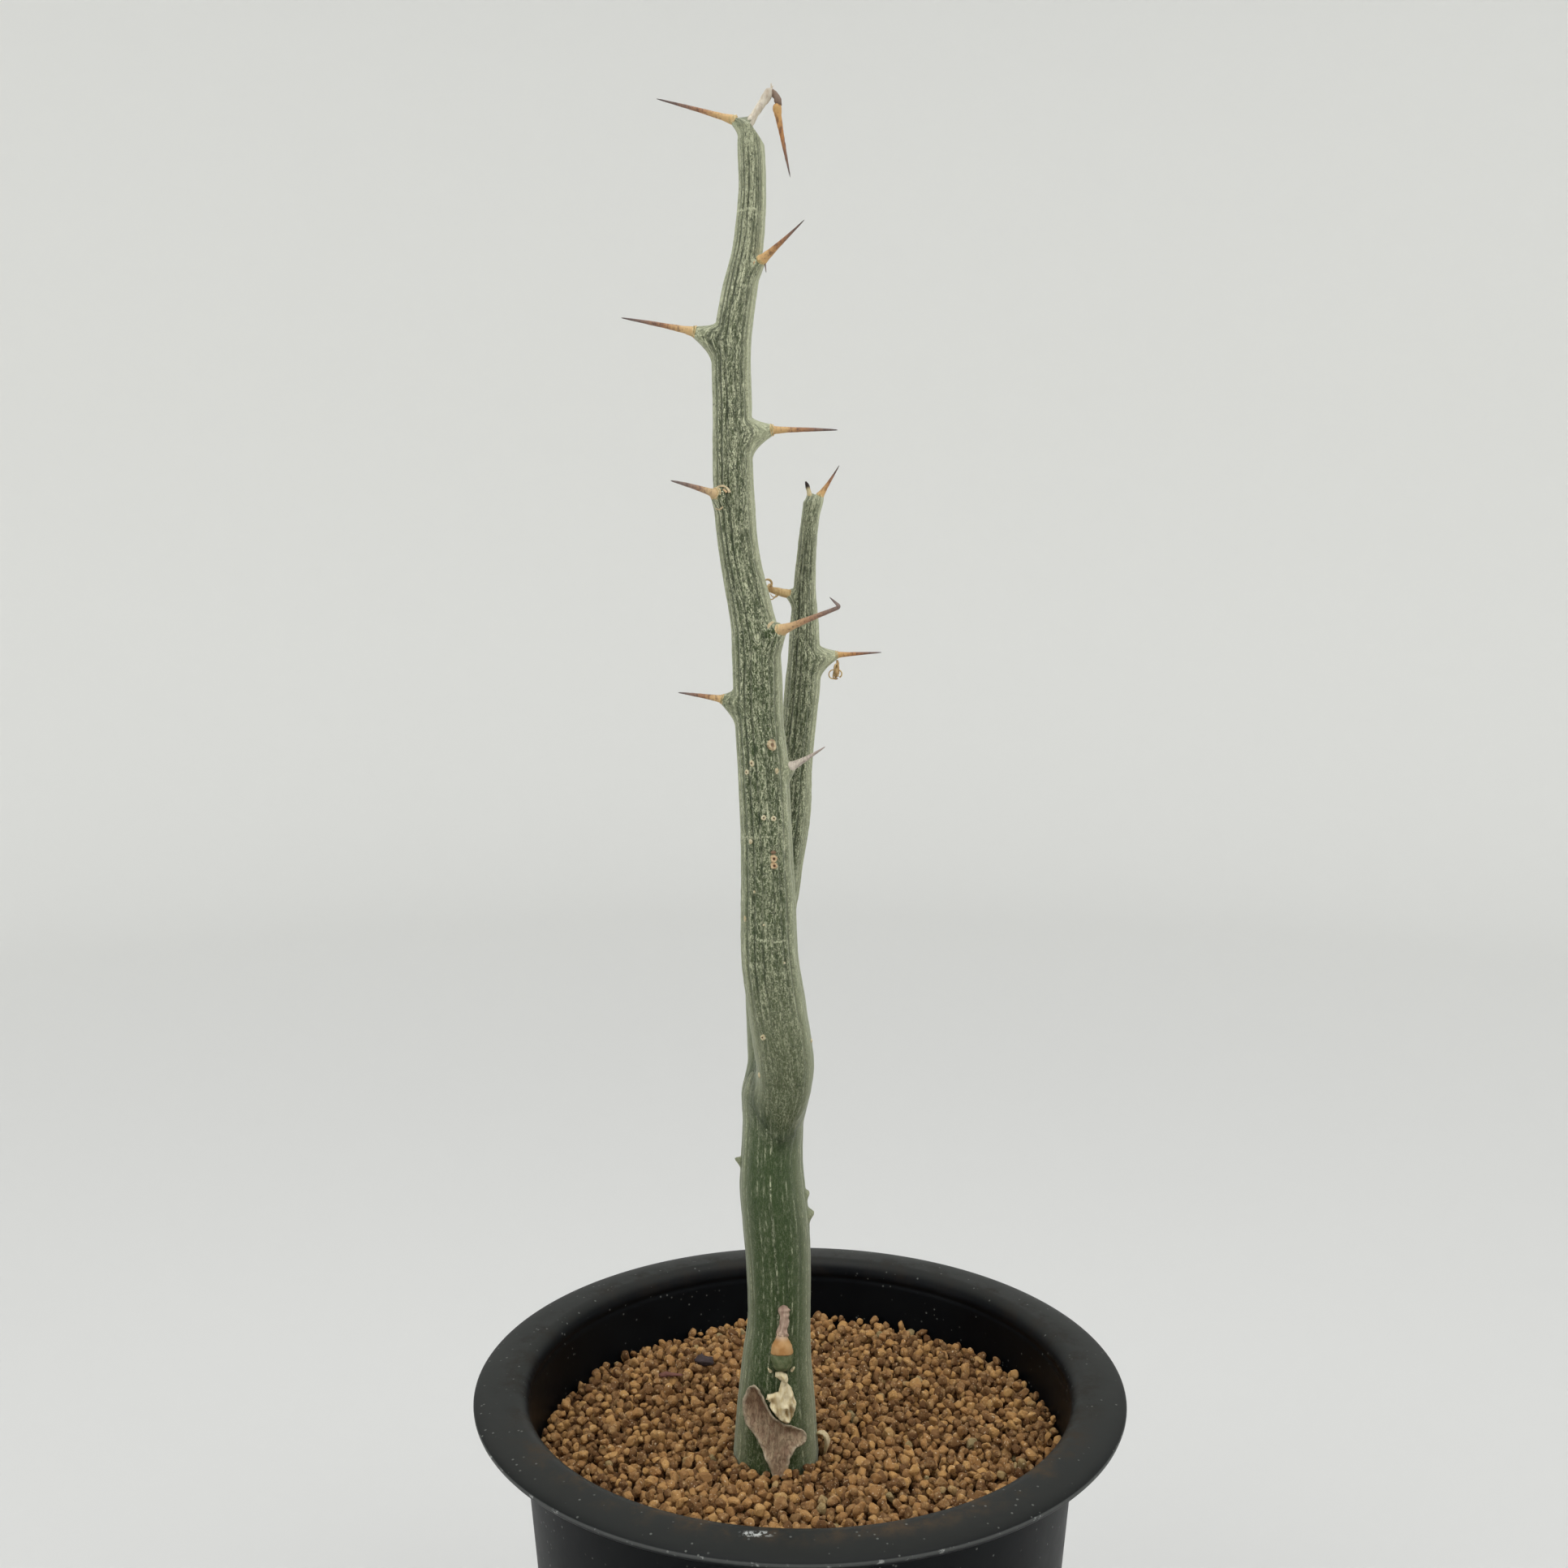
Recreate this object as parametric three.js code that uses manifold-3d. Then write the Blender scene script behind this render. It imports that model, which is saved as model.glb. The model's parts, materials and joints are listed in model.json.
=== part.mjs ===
// A thorny green-stemmed caudex plant in a round plastic nursery pot filled with fired-clay grains.
// Millimetres, +Z up. The origin is the centre of the pot's foot, on the surface it stands on.
import * as THREE from "three";
import { mergeVertices } from "three/addons/utils/BufferGeometryUtils.js";
import Module from "manifold-3d";

const wasm = await Module();
wasm.setup();

// ---- driving dimensions ----

const clearance = 0.3; // running gap between pieces that touch

// Pot
const potHeight = 105; // foot to the crest of the rim
const mouthRadius = 50; // inside of the wall, level with the rim's lower edge
const rimWidth = 10; // from the mouth to the rim's outermost edge
const rimCrestOffset = 3; // from the mouth to the rim's crest
const rimDrop = 2.9; // crest of the rim above its lower edge
const rimLipInset = 2.9; // how far the rim's lower edge turns back in
const rimLipWidth = 0.4; // width of the rim's lower edge
const footRadius = 43; // outside of the wall at the foot
const wall = 1.5;
const footRingHeight = 4;
const floorThickness = 1.8;
const floorFillet = 2; // where the wall turns into the floor
const drainSlotCount = 8;
const drainSlotWidth = 3.2;
const drainSlotLength = 14;
const drainSlotRadius = 24; // centre of each slot from the pot's axis
const potSides = 48;

// Soil
const headspace = 11; // soil surface below the crest of the rim

// Plant: where the trunk leaves the soil, and the lengths of its three stems
const trunkX = -4.3;
const trunkY = -8.5;
const trunkHeight = 66; // soil surface to the fork
const trunkBuried = 34; // trunk below the soil surface
const tallShootLap = 5; // how far the tall shoot's foot reaches below the fork
const tallShootLength = 171.4;
const shortShootLength = 105.6;
const stemSides = 16;
const ringSpacing = 4.5; // along a stem

// Sides of the turned shapes
const cushionSides = 12;
const thornSides = 10;
const rootSides = 10;
const budSides = 16;

// Roots under the trunk
const rootCount = 5;
const rootLength = 26;
const rootRadius = 2;
const rootFall = 35; // degrees below level
const rootTurn = 20; // degrees, azimuth of the first root

// The bud sits on the trunk's front with its dried neck above it.
const budHeight = 18.6; // foot of the bud above the soil
const budRadius = 1.9;
const budLength = 6.4;
const budOffset = 0.9; // to the right of the trunk's axis
const budLean = 82; // degrees above level, back towards the trunk
const budNeckLength = 4.8;
const budNeckRadius = 0.8;

// The broken thorn that hangs by its base from the withered tip
const danglingThornRadius = 0.75;
const danglingThornLength = 11.8;
const danglingThornPlace = 0.6; // share of the withered tip's length
const danglingThornFall = 80; // degrees below level

// The dried curl under the short shoot's side thorn
const driedCurlRadius = 0.9;
const driedCurlLength = 3.2;
const driedCurlPlace = 0.9; // beyond the thorn's base
const driedCurlFall = 74; // degrees below level

// The pale strip that stands at the right of the trunk's foot
const paleCurlRadius = 0.8;
const paleCurlLength = 3.4;
const paleCurlGap = 1.3; // from the trunk's skin
const paleCurlOffset = -1.2; // in front of the trunk's axis

// The chip of bark on the soil, with its middle measured from the pot's axis
const chipHalfSizes = [1.9, 1.2, 0.9];
const chipX = -19;
const chipY = 23.5;
const chipTurn = -35; // degrees

// Papery scales at the trunk's foot: outlines in X across its front and height above the soil
const scaleThickness = 0.5;
const huskOutline = [
  [-3.3, 15.7],
  [-5, 10.4],
  [-2.6, 5.3],
  [-1.1, 1.9],
  [-0.6, clearance],
  [1.8, clearance],
  [2, 2.7],
  [4.4, 5.4],
  [4.8, 7.2],
  [2.2, 8.6],
  [-0.4, 10.4],
  [-1.9, 13.3],
];
const flakeOutline = [
  [0.5, 18],
  [1.4, 17.8],
  [1.7, 16.2],
  [2.6, 14.4],
  [2.9, 12.6],
  [2.1, 9.2],
  [0.6, 9.6],
  [-0.6, 11.8],
  [-1.5, 13.9],
  [0.5, 14.8],
  [1, 16.4],
];

// Stations along each stem: share of its length, offset in X and Y from the trunk's foot, radius.
const trunkStations = [
  [0, 0, 0, 7.8],
  [0.16, 0, 0, 7],
  [0.27, 0.1, 0, 6.3],
  [0.38, 0.5, 0, 5.75],
  [0.53, 0.4, 0, 5.9],
  [0.66, -0.1, 0, 6.1],
  [0.75, -0.7, 0, 5.9],
  [0.83, -0.8, 0.2, 5.5],
  [0.92, -0.6, 0.6, 5.4],
  [1, -0.3, 1.2, 5.4],
];
const tallShootStations = [
  [0, 0.5, -2.6, 2.4],
  [0.025, 1, -2.8, 4.2],
  [0.051, 1.6, -3.2, 4.8],
  [0.078, 1.5, -3.8, 5.1],
  [0.133, 0.1, -4.2, 5.1],
  [0.187, -1.1, -4.3, 5],
  [0.267, -1.4, -4.3, 4.6],
  [0.376, -2.2, -4.3, 4.35],
  [0.427, -2.9, -4.2, 4.25],
  [0.503, -3.4, -4.1, 4.15],
  [0.531, -4.2, -4, 3.8],
  [0.582, -6, -3.9, 3.45],
  [0.633, -7, -3.8, 3.5],
  [0.733, -7.3, -3.7, 3.3],
  [0.786, -7.4, -3.6, 3.3],
  [0.835, -6.2, -3.6, 3],
  [0.885, -4.6, -3.5, 2.6],
  [0.933, -3.9, -3.5, 2.35],
  [0.981, -4.1, -3.5, 2.2],
  [1, -4.4, -3.5, 1.5],
];
const shortShootStations = [
  [0, -0.2, 2, 5.1],
  [0.05, -0.4, 4, 4.7],
  [0.194, -1.2, 6.4, 4.4],
  [0.3, -0.6, 7, 4.15],
  [0.367, 0.6, 7, 4],
  [0.474, 2.6, 7, 3.6],
  [0.549, 3.1, 7, 3.4],
  [0.636, 4.2, 7, 3.15],
  [0.702, 4.8, 7, 3.1],
  [0.767, 5, 7.1, 2.75],
  [0.853, 5.1, 7.2, 2.05],
  [0.939, 5.7, 7.3, 1.7],
  [1, 6.5, 7.4, 1.6],
];

// Azimuth is in degrees from +X towards +Y. Rise is in degrees above level.
// A cushion is the green foot that carries a thorn: how far it stands out, and its radius at the stem.
const thorns = [
  {
    name: "thorn_crown", shoot: "tall", share: 0.998, azimuth: 180, rise: 16,
    cushion: 0.4, cushionRadius: 1.4, radius: 0.87, length: 13.2,
  },
  {
    name: "thorn_upper_right", shoot: "tall", share: 0.855, azimuth: -30, rise: 32,
    cushion: 0.3, cushionRadius: 1.5, radius: 0.75, length: 9.7,
  },
  {
    name: "thorn_upper_left", shoot: "tall", share: 0.795, azimuth: 180, rise: 12,
    cushion: 2.6, cushionRadius: 2.5, radius: 0.95, length: 12.4,
  },
  {
    name: "thorn_middle_right", shoot: "tall", share: 0.707, azimuth: 0, rise: 2,
    cushion: 2.9, cushionRadius: 2.7, radius: 1, length: 11.1,
  },
  {
    name: "thorn_middle_left", shoot: "tall", share: 0.64, azimuth: -135, rise: 12,
    cushion: 0.3, cushionRadius: 1.9, radius: 1.08, length: 9.9,
  },
  {
    name: "thorn_hooked", shoot: "tall", share: 0.503, azimuth: -35, rise: 18,
    cushion: 0.4, cushionRadius: 2.6, radius: 1.3, length: 12.8, hookLength: 2.6,
  },
  {
    name: "thorn_lower_left", shoot: "tall", share: 0.438, azimuth: 180, rise: 10,
    cushion: 1.5, cushionRadius: 2.4, radius: 0.85, length: 7.6,
  },
  {
    name: "thorn_lower_right", shoot: "tall", share: 0.363, azimuth: -12, rise: 27,
    cushion: 0, cushionRadius: 1.6, radius: 0.9, length: 6.6,
  },
  {
    name: "thorn_short_crown", shoot: "short", share: 0.985, azimuth: 0, rise: 55,
    cushion: -0.7, cushionRadius: 1.2, radius: 0.6, length: 6,
  },
  {
    name: "thorn_short_right", shoot: "short", share: 0.736, azimuth: 0, rise: 4,
    cushion: 2.5, cushionRadius: 2.4, radius: 0.75, length: 8,
  },
];

const hookAngle = 56; // degrees between a hooked thorn's shaft and its bent tip

// Dried leaf stalks and stubs
const stalks = [
  {
    name: "dried_stalk_left", shoot: "short", share: 0.837, azimuth: 186, rise: 10,
    cushion: 0.4, cushionRadius: 1.4, radius: 0.8, length: 4.4,
  },
  {
    name: "withered_tip", shoot: "tall", share: 0.998, azimuth: 0, rise: 57,
    cushion: -1.5, cushionRadius: 1, radius: 0.65, length: 5.4,
  },
  {
    name: "tip_stub", shoot: "short", share: 0.988, azimuth: 180, rise: 78,
    cushion: -1.7, cushionRadius: 0.8, radius: 0.45, length: 2.4,
  },
];

// Leaf-scar knobs on the trunk
const trunkKnobs = [
  { share: 0.79, azimuth: 182, rise: 10, cushion: 1.1, cushionRadius: 2.2, radius: 0.4 },
  { share: 0.67, azimuth: -4, rise: 0, cushion: 0.9, cushionRadius: 2.4, radius: 0.5 },
];

// ---- materials ----

const finishes = {
  pot: { color: 0x2c2f31, roughness: 0.5, metalness: 0 },
  soil: { color: 0x9a7142, roughness: 0.95, metalness: 0 },
  stem: { color: 0x5f7650, roughness: 0.65, metalness: 0 },
  thorn: { color: 0xa98762, roughness: 0.6, metalness: 0 },
  dried: { color: 0x9b8568, roughness: 0.9, metalness: 0 },
  cream: { color: 0xc9b98f, roughness: 0.9, metalness: 0 },
  chip: { color: 0x3a3436, roughness: 0.9, metalness: 0 },
};

function piece(name, geometry, finish) {
  const mesh = new THREE.Mesh(geometry, new THREE.MeshStandardMaterial(finishes[finish]));
  mesh.name = name;
  return mesh;
}

// ---- solids ----

function toSolid(geometry) {
  const bare = geometry.clone();
  bare.deleteAttribute("normal");
  bare.deleteAttribute("uv");
  const merged = mergeVertices(bare, 1e-3);
  const vertProperties = new Float32Array(merged.attributes.position.array);
  const triVerts = new Uint32Array(merged.index.array);
  return new wasm.Manifold(new wasm.Mesh({ numProp: 3, vertProperties, triVerts }));
}

function toGeometry(solid) {
  const mesh = solid.getMesh();
  const geometry = new THREE.BufferGeometry();
  geometry.setAttribute("position", new THREE.BufferAttribute(mesh.vertProperties, 3));
  geometry.setIndex(new THREE.BufferAttribute(mesh.triVerts, 1));
  geometry.computeVertexNormals();
  return geometry;
}

// A shape turned about +Z from (radius, height) points that start and end on the axis.
function turned(points, sides) {
  const profile = points.map(([radius, height]) => new THREE.Vector2(radius, height));
  return new THREE.LatheGeometry(profile, sides).rotateX(Math.PI / 2);
}

function directionOf(azimuth, rise) {
  const turn = THREE.MathUtils.degToRad(azimuth);
  const lift = THREE.MathUtils.degToRad(rise);
  const level = Math.cos(lift);
  return new THREE.Vector3(Math.cos(turn) * level, Math.sin(turn) * level, Math.sin(lift));
}

// Turns a shape that stands on +Z so that it points along a direction, from a point.
function aimed(geometry, from, direction) {
  const turn = new THREE.Quaternion().setFromUnitVectors(new THREE.Vector3(0, 0, 1), direction);
  return geometry.applyQuaternion(turn).translate(from.x, from.y, from.z);
}

// ---- stems ----

// A smooth value through one column of a table of stations.
function smoothAt(stations, column, share) {
  const last = stations.length - 1;
  const place = THREE.MathUtils.clamp(share, 0, 1);
  let i = 0;
  while (i < last - 1 && place > stations[i + 1][0]) i += 1;
  const slopeAt = (k) => {
    const before = stations[Math.max(k - 1, 0)];
    const after = stations[Math.min(k + 1, last)];
    return (after[column] - before[column]) / (after[0] - before[0]);
  };
  const span = stations[i + 1][0] - stations[i][0];
  const t = (place - stations[i][0]) / span;
  const start = stations[i][column];
  const end = stations[i + 1][column];
  const startPull = slopeAt(i) * span;
  const endPull = slopeAt(i + 1) * span;
  return (
    start * (1 + 2 * t) * (1 - t) ** 2 +
    startPull * t * (1 - t) ** 2 +
    end * t * t * (3 - 2 * t) +
    endPull * t * t * (t - 1)
  );
}

const stems = {
  trunk: { stations: trunkStations, start: 0, length: trunkHeight },
  tall: { stations: tallShootStations, start: trunkHeight - tallShootLap, length: tallShootLength },
  short: { stations: shortShootStations, start: trunkHeight + clearance, length: shortShootLength },
};

function stemPoint(stem, height) {
  const share = height / stem.length;
  return new THREE.Vector3(
    smoothAt(stem.stations, 1, share),
    smoothAt(stem.stations, 2, share),
    stem.start + height,
  );
}

function stemRadius(stem, height) {
  return smoothAt(stem.stations, 3, height / stem.length);
}

// Bends a shape that is turned about +Z onto a stem's axis.
function bent(geometry, stem) {
  const step = 0.5;
  const positions = geometry.attributes.position;
  const vertex = new THREE.Vector3();
  for (let i = 0; i < positions.count; i += 1) {
    vertex.fromBufferAttribute(positions, i);
    const ahead = stemPoint(stem, vertex.z + step);
    const heading = ahead.sub(stemPoint(stem, vertex.z - step)).normalize();
    const side = new THREE.Vector3(1, 0, 0).addScaledVector(heading, -heading.x).normalize();
    const back = new THREE.Vector3().crossVectors(heading, side);
    const { x, y, z } = vertex;
    vertex.copy(stemPoint(stem, z)).addScaledVector(side, x).addScaledVector(back, y);
    positions.setXYZ(i, vertex.x, vertex.y, vertex.z);
  }
  return geometry;
}

// A stem between two heights along it, with its skin and its ends moved out by a margin.
function stemSolid(stem, from, to, margin) {
  const rings = Math.ceil((to - from) / ringSpacing);
  const points = [[0, from - margin]];
  for (let i = 0; i <= rings; i += 1) {
    const share = i / rings;
    const radius = stemRadius(stem, from + (to - from) * share) + margin;
    points.push([radius, from - margin + (to - from + 2 * margin) * share]);
  }
  points.push([0, to + margin]);
  return toSolid(bent(turned(points, stemSides), stem));
}

// The green foot under a thorn: from the stem's axis out to the thorn's base, whose inner edge
// stands off the stem's skin by the cushion's height.
function cushionReach(stem, growth) {
  const lift = THREE.MathUtils.degToRad(growth.rise);
  const skin = stemRadius(stem, growth.share * stem.length);
  return (skin + growth.cushion + growth.radius * Math.sin(lift)) / Math.cos(lift);
}

function cushionSolid(stem, growth, margin) {
  const radius = stemRadius(stem, growth.share * stem.length);
  const reach = cushionReach(stem, growth);
  const foot = growth.cushionRadius + margin;
  const top = growth.radius + margin;
  const shoulder = Math.min(radius, reach) * 0.85;
  const middle = shoulder + (reach - shoulder) * 0.45;
  const points = [
    [0, 0],
    [foot, 0],
    [foot, shoulder * 0.8],
    [top + (foot - top) * 0.4, middle],
    [top, reach],
    [0, reach + margin],
  ];
  const from = stemPoint(stem, growth.share * stem.length);
  const direction = directionOf(growth.azimuth, growth.rise);
  return toSolid(aimed(turned(points, cushionSides), from, direction));
}

function withCushions(body, stem, growths, margin) {
  return growths.reduce((solid, growth) => solid.add(cushionSolid(stem, growth, margin)), body);
}

function growthsOn(shoot) {
  return [...thorns, ...stalks].filter((growth) => growth.shoot === shoot);
}

// ---- the three stems and the roots ----

function tallShootSolid(margin) {
  const stem = stems.tall;
  return withCushions(stemSolid(stem, 0, stem.length, margin), stem, growthsOn("tall"), margin);
}

function shortShootSolid(margin) {
  const stem = stems.short;
  return withCushions(stemSolid(stem, 0, stem.length, margin), stem, growthsOn("short"), margin);
}

function rootSolid(index, margin) {
  const azimuth = rootTurn + (360 * index) / rootCount;
  const points = [
    [0, -margin],
    [rootRadius + margin, -margin],
    [rootRadius * 0.6 + margin, rootLength * 0.5],
    [rootRadius * 0.25 + margin, rootLength + margin],
    [0, rootLength + margin],
  ];
  const from = new THREE.Vector3(0, 0, -trunkBuried + rootRadius * 2);
  return toSolid(aimed(turned(points, rootSides), from, directionOf(azimuth, -rootFall)));
}

// The trunk's buried end narrows to the place where the roots leave it.
function buriedSolid(margin) {
  const radius = stemRadius(stems.trunk, 0);
  const points = [
    [0, -trunkBuried - margin],
    [radius * 0.45 + margin, -trunkBuried - margin],
    [radius * 0.8 + margin, -trunkBuried * 0.6],
    [radius * 0.98 + margin, -trunkBuried * 0.2],
    [radius + margin, 1],
    [0, 1],
  ];
  return toSolid(turned(points, stemSides));
}

function trunkSolid(margin) {
  const stem = stems.trunk;
  let solid = withCushions(stemSolid(stem, 0, stem.length, margin), stem, trunkKnobs, margin);
  solid = solid.add(buriedSolid(margin));
  for (let i = 0; i < rootCount; i += 1) solid = solid.add(rootSolid(i, margin));
  return solid;
}

// The tall shoot's foot is let into the trunk, and the short shoot stands on the trunk behind it.
function makeStems(grownTrunk) {
  const grownTall = tallShootSolid(clearance);
  const trunk = trunkSolid(0).subtract(grownTall);
  const short = shortShootSolid(0).subtract(grownTall).subtract(grownTrunk);
  return [
    piece("trunk", toGeometry(trunk), "stem"),
    piece("tall_shoot", toGeometry(tallShootSolid(0)), "stem"),
    piece("short_shoot", toGeometry(short), "stem"),
  ];
}

// ---- thorns and dried stalks ----

// A piece whose own +Z points along a direction, from a point.
function standing(name, geometry, finish, from, direction) {
  const mesh = piece(name, geometry, finish);
  mesh.position.copy(from);
  mesh.quaternion.setFromUnitVectors(new THREE.Vector3(0, 0, 1), direction);
  return mesh;
}

// A piece that stands on its cushion.
function grown(growth, geometry, finish) {
  const stem = stems[growth.shoot];
  const direction = directionOf(growth.azimuth, growth.rise);
  const from = stemPoint(stem, growth.share * stem.length);
  from.addScaledVector(direction, cushionReach(stem, growth) + clearance);
  return standing(growth.name, geometry, finish, from, direction);
}

// A thorn is broad for its first third and then tapers to a blunt point.
function thornGeometry(radius, length) {
  const points = [
    [0, 0],
    [radius, 0],
    [radius * 0.72, length * 0.16],
    [radius * 0.5, length * 0.4],
    [radius * 0.32, length * 0.7],
    [radius * 0.12, length],
    [0, length],
  ];
  return turned(points, thornSides);
}

// A thorn whose tip is bent back over itself.
function hookedThornGeometry({ radius, length, hookLength, azimuth }) {
  const hookRadius = radius * 0.34;
  const shaft = [
    [0, 0],
    [radius, 0],
    [radius * 0.7, length * 0.2],
    [radius * 0.5, length * 0.6],
    [hookRadius, length],
    [0, length],
  ];
  const from = new THREE.Vector3(0, 0, length - hookRadius);
  const back = directionOf(azimuth + 180, hookAngle - 90);
  const hook = aimed(thornGeometry(hookRadius, hookLength), from, back);
  return toGeometry(toSolid(turned(shaft, thornSides)).add(toSolid(hook)));
}

function makeThorn(growth) {
  const geometry = growth.hookLength
    ? hookedThornGeometry(growth)
    : thornGeometry(growth.radius, growth.length);
  return grown(growth, geometry, "thorn");
}

// A dried stalk keeps most of its width and ends blunt.
function makeStalk(growth) {
  const points = [
    [0, 0],
    [growth.radius, 0],
    [growth.radius * 0.75, growth.length * 0.3],
    [growth.radius * 0.7, growth.length * 0.9],
    [growth.radius * 0.4, growth.length],
    [0, growth.length],
  ];
  const geometry = turned(points, thornSides);
  return grown(growth, geometry, "dried");
}

// The broken thorn that hangs by its base from the withered tip.
function makeDanglingThorn() {
  const tip = stalks.find((growth) => growth.name === "withered_tip");
  const stem = stems[tip.shoot];
  const along = cushionReach(stem, tip) + clearance + tip.length * danglingThornPlace;
  const from = stemPoint(stem, tip.share * stem.length);
  from.addScaledVector(directionOf(tip.azimuth, tip.rise), along);
  from.x += tip.radius + danglingThornRadius + clearance;
  const geometry = thornGeometry(danglingThornRadius, danglingThornLength);
  return standing("dangling_thorn", geometry, "thorn", from, directionOf(0, -danglingThornFall));
}

// The dried curl that hangs under the short shoot's side thorn.
function makeDriedCurl() {
  const thorn = thorns.find((growth) => growth.name === "thorn_short_right");
  const stem = stems[thorn.shoot];
  const from = stemPoint(stem, thorn.share * stem.length);
  const along = cushionReach(stem, thorn) + driedCurlPlace;
  from.addScaledVector(directionOf(thorn.azimuth, thorn.rise), along);
  from.z -= thorn.radius + clearance;
  const points = [
    [0, 0],
    [driedCurlRadius * 0.45, 0],
    [driedCurlRadius * 0.67, driedCurlLength * 0.375],
    [driedCurlRadius, driedCurlLength * 0.75],
    [driedCurlRadius * 0.55, driedCurlLength],
    [0, driedCurlLength],
  ];
  const geometry = turned(points, thornSides);
  return standing("dried_curl", geometry, "dried", from, directionOf(180, -driedCurlFall));
}

// ---- bud and papery scales on the front of the trunk ----

function trunkFront(height) {
  const point = stemPoint(stems.trunk, height);
  point.y -= stemRadius(stems.trunk, height);
  return point;
}

// The bud stands on the trunk's front, cut to its skin, with the dried neck on top.
function makeBud(grownTrunk) {
  const foot = trunkFront(budHeight);
  const lean = directionOf(90, budLean);
  const budPoints = [
    [0, 0],
    [budRadius * 0.7, 0],
    [budRadius, budLength * 0.35],
    [budRadius * 0.85, budLength * 0.7],
    [budRadius * 0.45, budLength],
    [0, budLength],
  ];
  const neckPoints = [
    [0, 0],
    [budNeckRadius * 0.875, 0],
    [budNeckRadius * 0.6875, budNeckLength * 0.5],
    [budNeckRadius, budNeckLength * 0.85],
    [budNeckRadius * 0.5, budNeckLength],
    [0, budNeckLength],
  ];
  foot.x += budOffset;
  foot.y -= budRadius * 0.5;
  const bud = toSolid(aimed(turned(budPoints, budSides), foot, lean)).subtract(grownTrunk);
  const neckFoot = foot.clone().addScaledVector(lean, budLength + clearance);
  const neck = toSolid(aimed(turned(neckPoints, thornSides), neckFoot, lean)).subtract(grownTrunk);
  return [
    piece("basal_bud", toGeometry(bud), "stem"),
    piece("basal_bud_tip", toGeometry(neck), "dried"),
  ];
}

// A papery scale that lies round the trunk between two distances from its skin.
function scaleSolid(outline, gap) {
  const shape = new THREE.Shape(outline.map(([x, z]) => new THREE.Vector2(x, z)));
  const depth = 2 * stemRadius(stems.trunk, 0);
  const prism = new THREE.ExtrudeGeometry(shape, { depth, bevelEnabled: false });
  prism.rotateX(Math.PI / 2);
  const outer = stemSolid(stems.trunk, 0, trunkHeight / 2, gap + scaleThickness);
  const inner = stemSolid(stems.trunk, -1, trunkHeight / 2 + 1, gap);
  return outer.subtract(inner).intersect(toSolid(prism));
}

function makeScales() {
  const flakeGap = clearance + scaleThickness + clearance;
  return [
    piece("brown_husk", toGeometry(scaleSolid(huskOutline, clearance)), "dried"),
    piece("cream_flake", toGeometry(scaleSolid(flakeOutline, flakeGap)), "cream"),
  ];
}

// A pale dried strip that curls out at the right of the trunk's foot.
function makePaleCurl() {
  const points = [
    [0, 0],
    [paleCurlRadius * 0.56, 0],
    [paleCurlRadius, paleCurlLength * 0.41],
    [paleCurlRadius * 0.63, paleCurlLength],
    [0, paleCurlLength],
  ];
  const mesh = piece("pale_curl", turned(points, thornSides), "cream");
  mesh.position.set(stemRadius(stems.trunk, 0) + paleCurlGap, paleCurlOffset, clearance);
  return mesh;
}

// ---- pot, soil and the chip that lies on it ----

const rimEdgeHeight = potHeight - rimDrop;
const soilTop = potHeight - headspace;
const floorTop = footRingHeight + floorThickness;

function potInnerRadius(height) {
  const foot = footRadius - wall;
  return foot + ((mouthRadius - foot) * height) / rimEdgeHeight;
}

// The rim rises from the wall to its crest, rolls out to the edge and turns down.
function rimPoints() {
  const edge = mouthRadius + rimWidth;
  const crest = mouthRadius + rimCrestOffset;
  const edgeHeight = rimEdgeHeight + rimDrop * 0.38;
  const points = [
    [potInnerRadius(rimEdgeHeight) + wall, rimEdgeHeight + rimDrop * 0.2],
    [edge - rimLipInset - 2 * rimLipWidth, rimEdgeHeight + rimDrop * 0.15],
    [edge - rimLipInset - rimLipWidth / 2, rimEdgeHeight],
    [edge - rimLipInset + rimLipWidth / 2, rimEdgeHeight],
  ];
  const steps = 6;
  for (let i = 0; i <= steps; i += 1) {
    const turn = ((Math.PI / 2) * i) / steps;
    const out = (edge - crest) * Math.cos(turn);
    points.push([crest + out, edgeHeight + (potHeight - edgeHeight) * Math.sin(turn)]);
  }
  for (let i = 1; i <= steps; i += 1) {
    const turn = ((Math.PI / 2) * i) / steps;
    const inwards = rimCrestOffset * Math.sin(turn);
    points.push([crest - inwards, rimEdgeHeight + rimDrop * Math.cos(turn)]);
  }
  return points;
}

function makePot() {
  const points = [
    [0, footRingHeight],
    [footRadius - 2 * wall, footRingHeight],
    [footRadius - 2 * wall, 0],
    [footRadius, 0],
    ...rimPoints(),
    [potInnerRadius(floorTop + floorFillet), floorTop + floorFillet],
    [potInnerRadius(floorTop) - floorFillet, floorTop],
    [0, floorTop],
  ];
  let solid = toSolid(turned(points, potSides));
  const slot = new THREE.BoxGeometry(drainSlotLength, drainSlotWidth, 4 * floorThickness);
  slot.translate(drainSlotRadius, 0, footRingHeight);
  for (let i = 0; i < drainSlotCount; i += 1) {
    const turn = (2 * Math.PI * i) / drainSlotCount;
    solid = solid.subtract(toSolid(slot.clone().rotateZ(turn)));
  }
  return piece("pot", toGeometry(solid), "pot");
}

function makeSoil(grownTrunk) {
  const bottom = floorTop + clearance;
  const points = [
    [0, bottom],
    [potInnerRadius(bottom) - floorFillet - clearance, bottom],
    [potInnerRadius(bottom + floorFillet) - 2 * clearance, bottom + floorFillet + clearance],
    [potInnerRadius(soilTop) - 2 * clearance, soilTop],
    [0, soilTop],
  ];
  const bed = toSolid(turned(points, potSides));
  const socket = grownTrunk.translate([trunkX, trunkY, soilTop]);
  return piece("soil", toGeometry(bed.subtract(socket)), "soil");
}

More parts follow.
